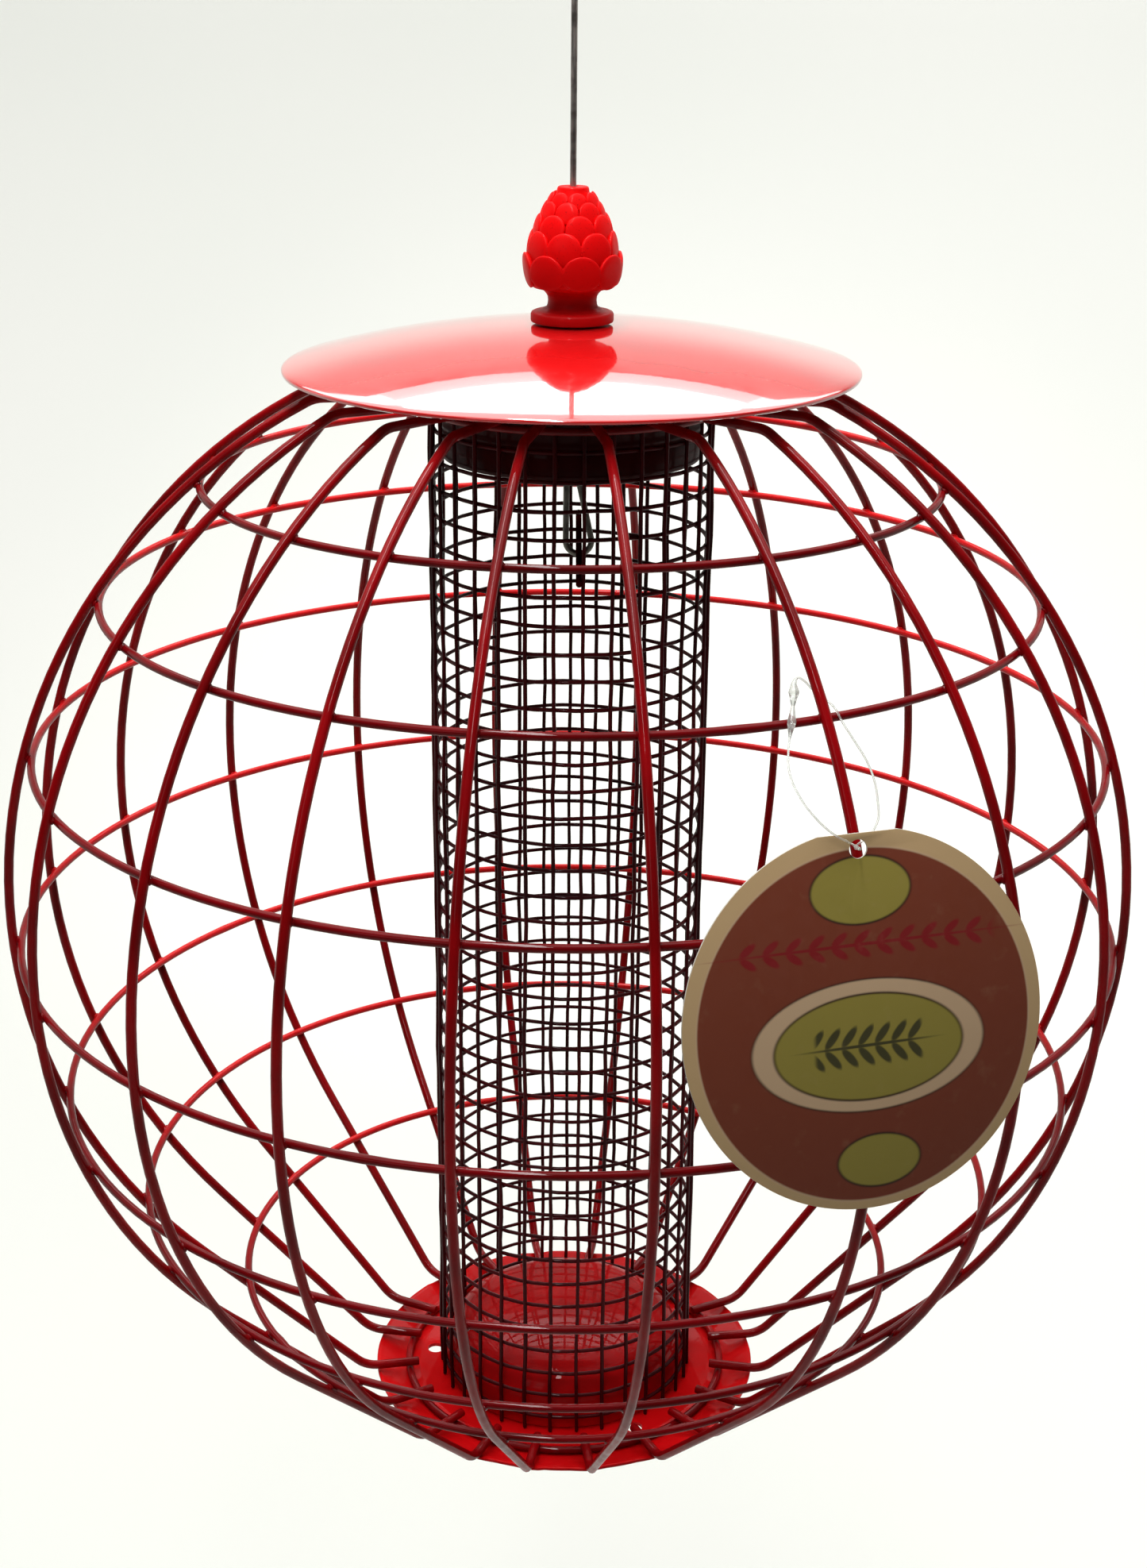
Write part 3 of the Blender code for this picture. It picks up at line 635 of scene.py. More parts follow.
@dataclass(frozen=True)
class PrintedCard:
    """The card's printed face, drawn on the card's own UV map. Its places and sizes are in millimetres."""

    name: str
    span: float
    middle: Point = (0.6, -4.9)
    paper: Colour = (0.50, 0.34, 0.175)
    ground: Colour = (0.175, 0.040, 0.020)
    cream: Colour = (0.52, 0.36, 0.22)
    olive: Colour = (0.27, 0.22, 0.045)
    ink: Colour = (0.030, 0.014, 0.010)
    leaf: Colour = (0.055, 0.050, 0.020)
    rule: Colour = (0.20, 0.012, 0.014)
    wear_scale: float = 260.0
    wear_span: Point = (0.58, 0.8)
    wear_share: float = 0.07
    specular: float = 0.2
    gloss_scale: float = 420.0
    gloss: Point = (0.42, 0.6)
    grain_scale: float = 2600.0
    grain_bump: float = 0.15
    grain_depth: float = 0.03 * MM

    def material(self) -> Material:
        """Bare ovals, a leafy band and a plain leaf sprig on a brown ground with a pale border."""
        recipe = Recipe(bpy.data.materials.new(self.name))
        middle = recipe.node(
            "ShaderNodeVectorMath", {0: recipe.space["UV"], 1: (0.5, 0.5, 0.0)}, operation="SUBTRACT")
        in_mm = {0: middle.outputs[0], "Scale": self.span / MM}
        place = recipe.node("ShaderNodeVectorMath", in_mm, operation="SCALE").outputs[0]

        def oval(x: float, y: float, wide: float, tall: float, turn: float = 0.0, edge: float = 0.25,
                 spot: Socket = place) -> Socket:
            """A mask that is 1 inside an oval on the card, turned by degrees."""
            fit = recipe.node("ShaderNodeMapping", {
                "Vector": spot, "Location": (x, y, 0.0), "Rotation": (0.0, 0.0, math.radians(turn)),
                "Scale": (wide, tall, 1.0)}, vector_type="TEXTURE")
            reach = recipe.node("ShaderNodeVectorMath", {0: fit.outputs[0]}, operation="LENGTH")
            soft = edge / min(wide, tall)
            return recipe.ramp(reach.outputs["Value"], 1.0 - soft, 1.0 + soft, 1.0, 0.0)

        def leaves(y: float, pitch: float, wide: float, tall: float, turn: float, reach: float) -> Socket:
            """A mask of leaves in a level row, each turned alike by degrees."""
            parts = recipe.parts_of(place)
            cell = recipe.reckon("WRAP", parts["X"], pitch / 2, -pitch / 2)
            spot = recipe.node("ShaderNodeCombineXYZ", {0: cell, 1: parts["Y"]}).outputs[0]
            single = oval(0.0, y, wide, tall, turn, 0.2, spot)
            return recipe.reckon("MULTIPLY", single, oval(self.middle[0], y, reach, 9.0, 0.0, 0.5))

        x, y = self.middle
        layers = (
            (self.cream, oval(0.1, -1.0, 34.1, 34.1)),
            (self.ground, oval(0.1, -1.0, 33.8, 33.8)),
            (self.ink, oval(0.1, 24.9, 10.4, 6.7)),
            (self.olive, oval(0.1, 24.9, 10.0, 6.3)),
            (self.rule, leaves(15.9, 4.6, 1.9, 0.75, 36.0, 26.0)),
            (self.rule, leaves(13.3, 4.6, 1.9, 0.75, -36.0, 26.0)),
            (self.rule, oval(x, 14.6, 27.0, 0.32, 0.0, 0.12)),
            (self.ink, oval(x, y, 23.9, 12.9, -1.0)),
            (self.cream, oval(x, y, 23.6, 12.6, -1.0)),
            (self.ink, oval(x, y - 0.3, 19.5, 10.4, -1.0)),
            (self.olive, oval(x, y - 0.3, 19.1, 10.0, -1.0)),
            (self.leaf, oval(x, y, 12.5, 0.3, 0.0, 0.12)),
            (self.leaf, leaves(y + 2.0, 3.4, 2.4, 0.8, 50.0, 11.0)),
            (self.leaf, leaves(y - 2.0, 3.4, 2.4, 0.8, -50.0, 11.0)),
            (self.ink, oval(1.7, -27.4, 8.7, 5.3)),
            (self.olive, oval(1.7, -27.4, 8.3, 4.9)))
        colour: object = self.paper
        for paint, mask in layers:
            colour = recipe.tint(mask, colour, paint)
        worn = recipe.ramp(recipe.noise(self.wear_scale, 5.0), *self.wear_span, 0.0, self.wear_share)
        return recipe.surface(
            recipe.tint(worn, colour, self.cream), recipe.spread(self.gloss_scale, *self.gloss),
            recipe.noise(self.grain_scale), self.grain_bump, self.grain_depth,
            {"Specular IOR Level": self.specular})


RIB_ENAMEL = Enamel(
    "rib_enamel", (0.30, 0.001, 0.003), (0.16, 0.001, 0.002), specular=0.03, coat=0.32, coat_roughness=0.02)
# Painted shade and light: the rings' near side is darker than the ribs' like enamel and turns to a bright red
# towards the back, standing in for the glare on the far rings
RING_ENAMEL = Enamel(
    "ring_enamel", (0.19, 0.001, 0.003), (0.11, 0.001, 0.002),
    specular=0.03, coat=0.32, coat_roughness=0.02, painted_light=(0.72, 0.010, 0.012))
PLATE_ENAMEL = Enamel(
    "plate_enamel", (0.66, 0.003, 0.005), (0.48, 0.002, 0.003), specular=0.03, coat=0.14, peel=0.10)
DOME_ENAMEL = Enamel(
    "dome_enamel", (0.62, 0.004, 0.006), (0.42, 0.003, 0.004),
    specular=0.03, coat=0.20, coat_roughness=0.02, peel=0.03)
LID_ENAMEL = Enamel(
    "lid_enamel", (0.74, 0.009, 0.010), (0.66, 0.007, 0.008),
    roughness=0.1, specular=0.8, coat=1.0, coat_roughness=0.025, coat_index=1.75, peel=0.02)
PLUG_ENAMEL = Enamel("plug_enamel", (0.05, 0.002, 0.002), (0.03, 0.001, 0.001), coat=0.1)
MESH_ENAMEL = Enamel("mesh_enamel", (0.075, 0.002, 0.004), (0.03, 0.001, 0.002), coat=0.15, peel_scale=1500.0)
BAR_ENAMEL = Enamel(
    "bar_enamel", (0.05, 0.001, 0.002), (0.02, 0.001, 0.001), roughness=0.7, specular=0.0, coat=0.0)
# Painted light: the finial turns brighter towards its top, where light from above falls
FINIAL_PAINT = Enamel(
    "finial_paint", (0.50, 0.003, 0.004), (0.36, 0.002, 0.003), coat=0.08, coat_roughness=0.10,
    painted_light=(0.95, 0.003, 0.004), painted_light_axis="Z", painted_light_span=(-87.0 * MM, -70.0 * MM))
CABLE_STEEL = BareMetal("cable_steel", (0.42, 0.41, 0.38), (0.16, 0.155, 0.14), roughness=0.45)
EYE_STEEL = BareMetal("eye_steel", (0.24, 0.24, 0.21), (0.10, 0.10, 0.09), roughness=0.5)
FERRULE_METAL = BareMetal("ferrule_metal", (0.56, 0.56, 0.56), (0.32, 0.32, 0.33), roughness=0.4)
ZINC = BareMetal("zinc", (0.62, 0.62, 0.58), (0.34, 0.33, 0.30), roughness=0.36)
TIE_PLASTIC = ClearPlastic(
    "tie_plastic", (0.96, 1.0, 0.95), (0.9984, 1.0, 0.988), roughness=0.12, transmission=0.85)
CARD_BACK = Board("card_back", (0.62, 0.58, 0.47), (0.50, 0.46, 0.36))
CARD_EDGE = Board("card_edge", (0.66, 0.63, 0.55), (0.52, 0.49, 0.41))


# The cage


@dataclass
class Cage:
    """The globe of ribs and rings. Its heights are counted from the globe's centre."""

    globe_radius: float = 130.6 * MM
    rib_wire: float = 1.1 * MM
    ring_wire: float = 0.9 * MM
    rib_count: int = 20
    first_azimuth: float = math.radians(-9.0)
    top_height: float = 117.5 * MM
    mouth_radius: float = 33.4 * MM
    shoulder_bend: float = 8.0 * MM
    foot_bend: float = 8.0 * MM
    foot_corner: Point = (51.5 * MM, -131.7 * MM)
    foot_end: float = 38.0 * MM
    rib_chamfer: float = 0.25 * MM
    press: float = 0.1 * MM
    foot_ring_radius: float = 40.3 * MM
    foot_ring_height: float = -134.0 * MM
    mouth_ring_height: float = 115.2 * MM
    leg_ring_run: float = 12.5 * MM
    bead_size: tuple[float, float, float] = (1.35 * MM, 0.75 * MM, 1.15 * MM)
    bead_waist: float = 0.4 * MM
    waist_shares: tuple[float, float, float] = (1.0, 1.15, 0.86)
    shoulder_steps: int = 6
    globe_steps: int = 44
    foot_steps: int = 8
    ring_steps: int = 144
    end_ring_steps: int = 96
    # How far each rib stands off its even place, as shares of the spacing
    drift_shares: tuple[float, ...] = (
        -0.03, -0.09, -0.01, -0.04, -0.08, -0.08, -0.08, -0.03, -0.06, -0.01,
        0.01, 0.03, 0.05, 0.06, 0.08, 0.03, 0.07, 0.12, 0.19, 0.11)
    ring_latitudes: tuple[float, ...] = (50.0, 34.5, 17.0, -3.0, -21.0, -36.5)
    ring_joints: tuple[float, ...] = (200.0, 17.6, 150.0, -17.7, 232.0, 95.0, 305.0)
    end_ring_joint: float = 120.0
    # Each step of a butt weld: how far it reaches along the ring and how much the wire swells there
    weld_swells: tuple[Point, ...] = ((4.2 * MM, 0.22 * MM), (2.2 * MM, -0.14 * MM))

    def azimuth(self, index: int) -> float:
        """The azimuth of a rib."""
        return self.first_azimuth + math.tau / self.rib_count * (index + self.drift_shares[index])

    def leg(self) -> tuple[Vector, Vector]:
        """Where a rib's straight leg leaves the globe, and its foot corner."""
        corner = Vector((self.foot_corner[0], 0.0, self.foot_corner[1]))
        swing = math.acos(self.globe_radius / corner.length)
        latitude = math.atan2(corner.z, corner.x) + swing
        leaves = Vector((math.cos(latitude), 0.0, math.sin(latitude))) * self.globe_radius
        return leaves, corner

    def bend_rib(self) -> Object:
        """Bends one rib in the XZ plane, from the mouth round to the foot."""
        inner = self.globe_radius - self.shoulder_bend
        rise = math.asin((self.top_height - self.shoulder_bend) / inner)
        leaves, corner = self.leg()
        leg = corner - leaves
        drop = math.atan2(-leg.z, -leg.x)
        start = Vector((self.mouth_radius, 0.0, self.top_height))
        wire = WireBench("rib", self.rib_wire, WIRE_SIDES, start, X_AXIS, Y_AXIS)
        wire.feed(inner * math.cos(rise) - self.mouth_radius)
        wire.turn(self.shoulder_bend, math.pi / 2 - rise, self.shoulder_steps)
        wire.turn(self.globe_radius, rise - math.atan2(leaves.z, leaves.x), self.globe_steps)
        wire.feed(leg.length - self.foot_bend * math.tan(drop / 2))
        wire.turn(self.foot_bend, drop, self.foot_steps)
        wire.feed(wire.place.x - self.foot_end)
        return wire.cut(self.rib_chamfer)

    def build_ribs(self) -> None:
        """Makes the ribs, each in its place."""
        pattern = self.bend_rib()
        material = RIB_ENAMEL.material()
        for index in range(self.rib_count):
            turn = Matrix.Rotation(self.azimuth(index) - math.pi / 2, 4, "Z")
            rib = copy_of(pattern, f"rib_wire_{index + 1:02d}", raised(GLOBE_LEVEL) @ turn)
            hand_over(rib, Body.CAGE, "rib_paint", f"cage_rib_{index + 1:02d}", material=material)
        bpy.data.objects.remove(pattern)

    def ring(self, name: str, radius: float, height: float, joint: float, steps: int) -> Object:
        """Rolls one ring with its butt weld.

        Args:
            name: The piece's name.
            radius: The ring's radius to the middle of the wire.
            height: Its height.
            joint: The azimuth of the weld, in degrees.
            steps: The steps of the ring.

        Returns:
            The ring.
        """
        level = GLOBE_LEVEL + height
        item = hoop(name, self.ring_wire, WIRE_SIDES, radius, level, steps)
        weld = outward(math.radians(joint)) * radius + UP * level
        with opened(item):
            for reach, swell in self.weld_swells:
                if pick(item, lambda co: (co - weld).length < reach):
                    bpy.ops.transform.shrink_fatten(value=swell)
        return smooth(item)

    def weld_bead(self) -> Object:
        """Shapes one low weld bead from a ball."""
        clear_bench()
        bpy.ops.mesh.primitive_uv_sphere_add(segments=8, ring_count=5, radius=1.0)
        bead = settle(bpy.context.object, "weld_bead")
        with opened(bead):
            bpy.ops.transform.resize(value=self.bead_size)
            pick(bead, lambda co: abs(co.x) < self.bead_waist)
            bpy.ops.transform.resize(value=self.waist_shares)
        return smooth(bead, angle=80.0)

    def ring_places(self) -> list[tuple[Vector, Vector]]:
        """Each level ring's wire in the XZ plane, with the direction from it to the ribs."""
        inset = self.rib_wire + self.ring_wire - self.press
        places = []
        for degrees in self.ring_latitudes:
            latitude = math.radians(degrees)
            normal = Vector((math.cos(latitude), 0.0, math.sin(latitude)))
            places.append((normal * (self.globe_radius - inset), normal))
        leaves, corner = self.leg()
        along = (corner - leaves).normalized()
        inward = Vector((along.z, 0.0, -along.x))
        places.append((leaves + along * self.leg_ring_run + inward * inset, -inward))
        return places

    def build_rings(self) -> None:
        """Makes the rings, with weld beads where the level ones meet the ribs."""
        material = RING_ENAMEL.material()
        bead = self.weld_bead()
        for index, (spot, normal) in enumerate(self.ring_places()):
            parts = [self.ring(f"ring_{index + 1}", spot.x, spot.z, self.ring_joints[index], self.ring_steps)]
            contact = spot + normal * self.ring_wire
            lean = Matrix.Rotation(-math.atan2(normal.z, normal.x), 4, "X")
            for rib in range(self.rib_count):
                azimuth = self.azimuth(rib)
                place = outward(azimuth) * contact.x + UP * (GLOBE_LEVEL + contact.z)
                turn = Matrix.Rotation(azimuth, 4, "Z") @ lean
                parts.append(copy_of(bead, f"bead_{rib}", Matrix.Translation(place) @ turn))
            ring = smooth(joined(f"level_ring_{index + 1}", parts))
            hand_over(ring, Body.CAGE, "ring_paint", f"cage_ring_{index + 1}", material=material)
        bpy.data.objects.remove(bead)
        for name, radius, height in (
                ("foot_ring", self.foot_ring_radius, self.foot_ring_height),
                ("mouth_ring", self.mouth_radius, self.mouth_ring_height)):
            ring = self.ring(name, radius, height, self.end_ring_joint, self.end_ring_steps)
            hand_over(ring, Body.CAGE, "ring_paint", f"cage_{name}", material=material)


# The foot


@dataclass
class BasePlate:
    """The pressed plate under the ribs' feet, and the dome in the tube's foot."""

    cage: Cage
    floor: float = GLOBE_LEVEL - 135.2 * MM
    outline: tuple[Point, ...] = (
        (0.0, 0.0), (20.0, 0.0), (36.6, 0.0), (37.1, 0.3), (37.8, 0.3), (38.6, 0.0), (41.7, 0.0),
        (42.5, 0.12), (43.6, 0.55), (45.5, 1.2), (47.4, 1.85), (48.1, 2.1), (48.5, 2.0), (48.6, 1.7),
        (48.4, 1.25), (47.2, 0.85), (45.3, 0.25), (43.4, -0.35), (42.3, -0.8), (41.5, -0.9),
        (20.0, -0.9), (0.0, -0.9))
    groove_start: float = 43.0 * MM
    # Each stroke of the press under a rib: its half width and its depth
    groove_strokes: tuple[Point, ...] = ((3.4, 0.1225), (2.2, 0.14), (1.0, 0.0875))
    drain_radius: float = 2.05 * MM
    drain_circle: float = 34.0 * MM
    drain_azimuths: tuple[float, ...] = (-97.0, 31.0, 147.0)
    drill_length: float = 6.0 * MM
    dome_radius: float = 30.0 * MM
    dome_height: float = 17.2 * MM
    dome_sheet: float = 0.8 * MM
    shoulder_start: float = 22.0 * MM
    shoulder_height: float = 15.2 * MM
    wall_height: float = 2.8 * MM
    plate_steps: int = 200
    drain_sides: int = 32
    dome_steps: int = 96
    shoulder_steps: int = 12
    crown_steps: int = 8

    def press_plate(self) -> Object:
        """Spins the plate, presses a shallow groove under every rib and drills the drain holes."""
        plate = lathe("pressed_plate", metres(self.outline), self.plate_steps, closed=False, foot=self.floor)
        with opened(plate):
            for index in range(self.cage.rib_count):
                azimuth = self.cage.azimuth(index)
                out, right = outward(azimuth), rightward(azimuth)
                for width, depth in metres(self.groove_strokes):
                    pick(plate, lambda co: co.dot(out) > self.groove_start and abs(co.dot(right)) < width)
                    bpy.ops.transform.translate(value=UP * -depth)
        below = UP * (self.floor - self.drill_length / 2)
        for degrees in self.drain_azimuths:
            place = outward(math.radians(degrees)) * self.drain_circle + below
            drill(plate, self.drain_radius, self.drain_sides, place, self.drill_length)
        return smooth(plate, angle=50.0)

    def press_dome(self) -> Object:
        """Spins the dome with its low crown and rounded shoulder."""
        crown_drop = self.dome_height - self.shoulder_height
        slope = math.atan2(2 * crown_drop, self.shoulder_start)
        bend = (self.dome_radius - self.shoulder_start) / (1.0 - math.sin(slope))
        middle = self.shoulder_height - bend * math.cos(slope)
        profile = [(self.dome_radius, 0.0), (self.dome_radius, self.wall_height)]
        for i in range(self.shoulder_steps + 1):
            angle = (math.pi / 2 - slope) * i / self.shoulder_steps
            out = self.dome_radius - bend * (1.0 - math.cos(angle))
            profile.append((out, middle + bend * math.sin(angle)))
        for i in range(1, self.crown_steps + 1):
            share = 1.0 - i / self.crown_steps
            profile.append((self.shoulder_start * share, self.dome_height - crown_drop * share ** 2))
        shrink = (self.dome_radius - self.dome_sheet) / self.dome_radius
        sink = (self.dome_height - self.dome_sheet) / self.dome_height
        profile += [(radius * shrink, height * sink) for radius, height in reversed(profile)]
        dome = lathe("pressed_dome", profile, self.dome_steps, closed=True, foot=self.floor + SEAT_GAP)
        return smooth(dome, angle=60.0)

    def build(self) -> None:
        """Makes the plate and the dome."""
        plate = self.press_plate()
        hand_over(plate, Body.CAGE, "plate_paint", "base_plate", material=PLATE_ENAMEL.material())
        hand_over(self.press_dome(), Body.CAGE, "plate_paint", "foot_dome", material=DOME_ENAMEL.material())


# The tube


@dataclass
class MeshTube:
    """The tube of welded square mesh, and the crossbar through it."""

    wire: float = 0.48 * MM
    wire_sides: int = 6
    upright_radius: float = 31.65 * MM
    row_radius: float = 31.0 * MM
    upright_count: int = 31
    first_upright: float = math.radians(5.4)
    pitch: float = 6.35 * MM
    rows_above: int = 5
    rows_below: int = 34
    marked_row: float = -140.3 * MM
    foot: float = -359.9 * MM
    top: float = -106.9 * MM
    wander: float = 0.9 * MM
    wander_size: float = 16.0 * MM
    bar_radius: float = 0.7 * MM
    bar_sides: int = 20
    bar_chamfer: float = 0.2 * MM
    bar_place: Point = (1.92 * MM, -142.77 * MM)
    bar_reach: float = 33.4 * MM

    def weave(self) -> Object:
        """Welds the uprights and rows into one mesh, and lets their wires wander a little."""
        start = outward(self.first_upright) * self.upright_radius + UP * self.foot
        upright = add_section("upright", self.wire, self.wire_sides, start, UP)
        count = self.rows_above + self.rows_below
        with opened(upright):
            for _ in range(count):
                push_out(UP * ((self.top - self.foot) / count))
            close_up()
        low = self.marked_row - self.rows_below * self.pitch
        row = hoop("row", self.wire, self.wire_sides, self.row_radius, low, 2 * self.upright_count)
        parts = [upright]
        for index in range(1, self.upright_count):
            turn = Matrix.Rotation(math.tau * index / self.upright_count, 4, "Z")
            parts.append(copy_of(upright, f"upright_{index}", turn))
        parts.append(row)
        for index in range(1, count + 1):
            parts.append(copy_of(row, f"row_{index}", raised(index * self.pitch)))
        tube = joined("welded_mesh", parts)
        drift = bpy.data.textures.new("wander", "CLOUDS")
        drift.cloud_type = "COLOR"
        drift.noise_scale = self.wander_size
        modify(
            tube, "DISPLACE", texture=drift, direction="RGB_TO_XYZ", texture_coords="LOCAL", mid_level=0.5,
            strength=self.wander)
        return smooth(tube, angle=70.0)

    def cut_bar(self) -> Object:
        """Cuts the crossbar off a straight wire."""
        start = Vector((self.bar_place[0], -self.bar_reach, self.bar_place[1]))
        wire = WireBench("crossbar", self.bar_radius, self.bar_sides, start, Y_AXIS, UP)
        for _ in range(4):
            wire.feed(self.bar_reach / 2)
        return wire.cut(self.bar_chamfer)

    def build(self) -> None:
        """Makes the mesh tube and the crossbar."""
        hand_over(self.weave(), Body.CAGE, "mesh_paint", "mesh_tube", material=MESH_ENAMEL.material())
        hand_over(self.cut_bar(), Body.CAGE, "mesh_paint", "hanger_crossbar", material=BAR_ENAMEL.material())


# The cable


@dataclass
class Hanging:
    """The steel cable, its two eyes and their crimped sleeves."""

    radius: float = 0.7 * MM
    strands: int = 6
    strand_points: int = 5
    # Each press on the strand's section: how far it lies beside the valley's middle, in strands, and
    # its depth as a share of the radius. The middle is pushed in most and the points beside it a little.
    presses: tuple[Point, ...] = ((0.0, 0.24), (-0.2, 0.06), (0.2, 0.06))
    press_reach: float = 0.05 * MM
    lay: float = 9.0 * MM
    lay_step: float = 0.5 * MM
    least_steps: int = 8
    cable_foot: float = -114.7 * MM
    cable_top: float = -22.0 * MM
    cable_points: int = 25
    lower_sleeve_foot: float = -123.7 * MM
    sleeve_radius: float = 1.9 * MM
    sleeve_outline: tuple[Point, ...] = (
        (0.0, 0.0), (1.5, 0.0), (1.82, 0.15), (1.9, 0.45), (1.9, 1.6), (1.62, 2.1), (1.62, 3.3), (1.9, 3.8),
        (1.9, 5.2), (1.62, 5.7), (1.62, 6.9), (1.9, 7.4), (1.9, 8.55), (1.82, 8.85), (1.5, 9.0), (0.0, 9.0))
    crimps: Point = (2.7 * MM, 6.3 * MM)
    crimp_reach: float = 0.7 * MM
    crimp_flank: float = 0.55
    crimp_squash: float = 0.94
    sleeve_steps: int = 32
    leg_offset: float = 1.0 * MM
    leg_tuck: float = 0.4 * MM
    eye_steps: int = 24
    lower_eye_radius: float = 2.9 * MM
    lower_eye_lean: float = math.radians(6.0)
    lower_eye_top: float = -124.0 * MM
    bar_level: float = -142.27 * MM
    bar_radius: float = 1.2 * MM
    top_eye_radius: float = 4.6 * MM
    top_eye_foot: float = -12.7 * MM

    def twist(self, name: str, length: float) -> Object:
        """Lays strands up into a straight length of cable, from the origin up."""
        item = add_section(name, self.radius, self.strand_points * self.strands, ORIGIN, UP, filled=False)
        with opened(item):
            for shift, share in self.presses:
                for strand in range(self.strands):
                    spot = rightward(math.tau * (strand + shift) / self.strands) * self.radius
                    pick(item, lambda co: (co - spot).length < self.press_reach)
                    bpy.ops.transform.translate(value=spot * -share)
        steps = max(self.least_steps, round(length / self.lay_step))
        modify(
            item, "SCREW", axis="Z", angle=math.tau * length / self.lay, screw_offset=length, steps=steps,
            render_steps=steps)
        with opened(item):
            for end in (0.0, length):
                pick(item, lambda co: abs(co.z - end) < 1e-6)
                bpy.ops.mesh.edge_face_add()
            close_up()
        return smooth(item, angle=80.0)

    def eye_route(self, eye_radius: float, length: float) -> list[Vector]:
        """Points of a teardrop eye: two legs down from the sleeve and a round foot.

        Args:
            eye_radius: The foot's radius to the cable's middle.
            length: The eye's length from the sleeve to the foot's lowest point.

        Returns:
            The points, in the XZ plane, hanging from the origin.
        """
        drop = length - eye_radius
        reach = math.hypot(self.leg_offset, drop)
        start = math.pi / 2 - math.atan2(self.leg_offset, drop) - math.acos(eye_radius / reach)
        leg = [Vector((self.leg_offset, 0.0, self.leg_tuck)), Vector((self.leg_offset, 0.0, 0.0))]
        foot = []
        for i in range(self.eye_steps + 1):
            angle = start - (math.pi + 2 * start) * i / self.eye_steps
            foot.append(Vector((eye_radius * math.cos(angle), 0.0, eye_radius * math.sin(angle) - drop)))
        return leg + foot + [Vector((-point.x, 0.0, point.z)) for point in reversed(leg)]

    def bend_eye(self, name: str, eye_radius: float, length: float, place: Matrix) -> Object:
        """Bends a length of cable into an eye along a guide curve."""
        points = self.eye_route(eye_radius, length)
        guide = draw_curve(name + "_guide", points)
        guide.data.use_stretch = True
        guide.data.use_deform_bounds = True
        item = self.twist(name, sum((b - a).length for a, b in zip(points, points[1:])))
        modify(item, "CURVE", object=guide, deform_axis="POS_Z")
        bpy.data.objects.remove(guide)
        item.data.transform(place)
        return item

    def crimp_sleeve(self, name: str, foot: float) -> Object:
        """Turns a sleeve with broken edges and two crimped waists, and flattens the waists."""
        item = lathe(name, metres(self.sleeve_outline), self.sleeve_steps, closed=False, foot=foot)
        flank = self.crimp_flank * self.sleeve_radius
        with opened(item):
            for crimp in self.crimps:
                pick(item, lambda co: abs(co.z - foot - crimp) < self.crimp_reach and abs(co.x) > flank)
                bpy.ops.transform.resize(value=(self.crimp_squash, 1.0, 1.0))
        return smooth(item, angle=45.0)

    def build(self) -> None:
        """Makes the cable, the eyes and the sleeves."""
        steel = CABLE_STEEL.material()
        metal = FERRULE_METAL.material()
        length = self.cable_top - self.cable_foot
        cable = self.twist("hanging_cable", length)
        cable.data.transform(raised(self.cable_foot))
        hand_over(cable, Body.CAGE, "cable_steel", "cable", material=steel)

        drop = (self.lower_eye_top - self.bar_level) / math.cos(self.lower_eye_lean)
        lower_length = drop + self.bar_radius + SEAT_GAP + self.radius
        place = raised(self.lower_eye_top) @ Matrix.Rotation(-self.lower_eye_lean, 4, "Y")
        lower = self.bend_eye("bar_eye", self.lower_eye_radius, lower_length, place)
        hand_over(lower, Body.CAGE, "cable_steel", "lower_eye", material=EYE_STEEL.material())

        place = raised(self.top_eye_foot) @ Matrix.Rotation(math.pi, 4, "Y")
        upper = self.bend_eye("hook_eye", self.top_eye_radius, self.radius - self.top_eye_foot, place)
        hand_over(upper, Body.CAGE, "cable_steel", "hanging_eye", material=steel)

        low_sleeve = self.crimp_sleeve("low_sleeve", self.lower_sleeve_foot)
        hand_over(low_sleeve, Body.CAGE, "ferrule_metal", "lower_ferrule", material=metal)
        top_sleeve = self.crimp_sleeve("top_sleeve", self.cable_top)
        hand_over(top_sleeve, Body.CAGE, "ferrule_metal", "top_ferrule", material=metal)


# The lid


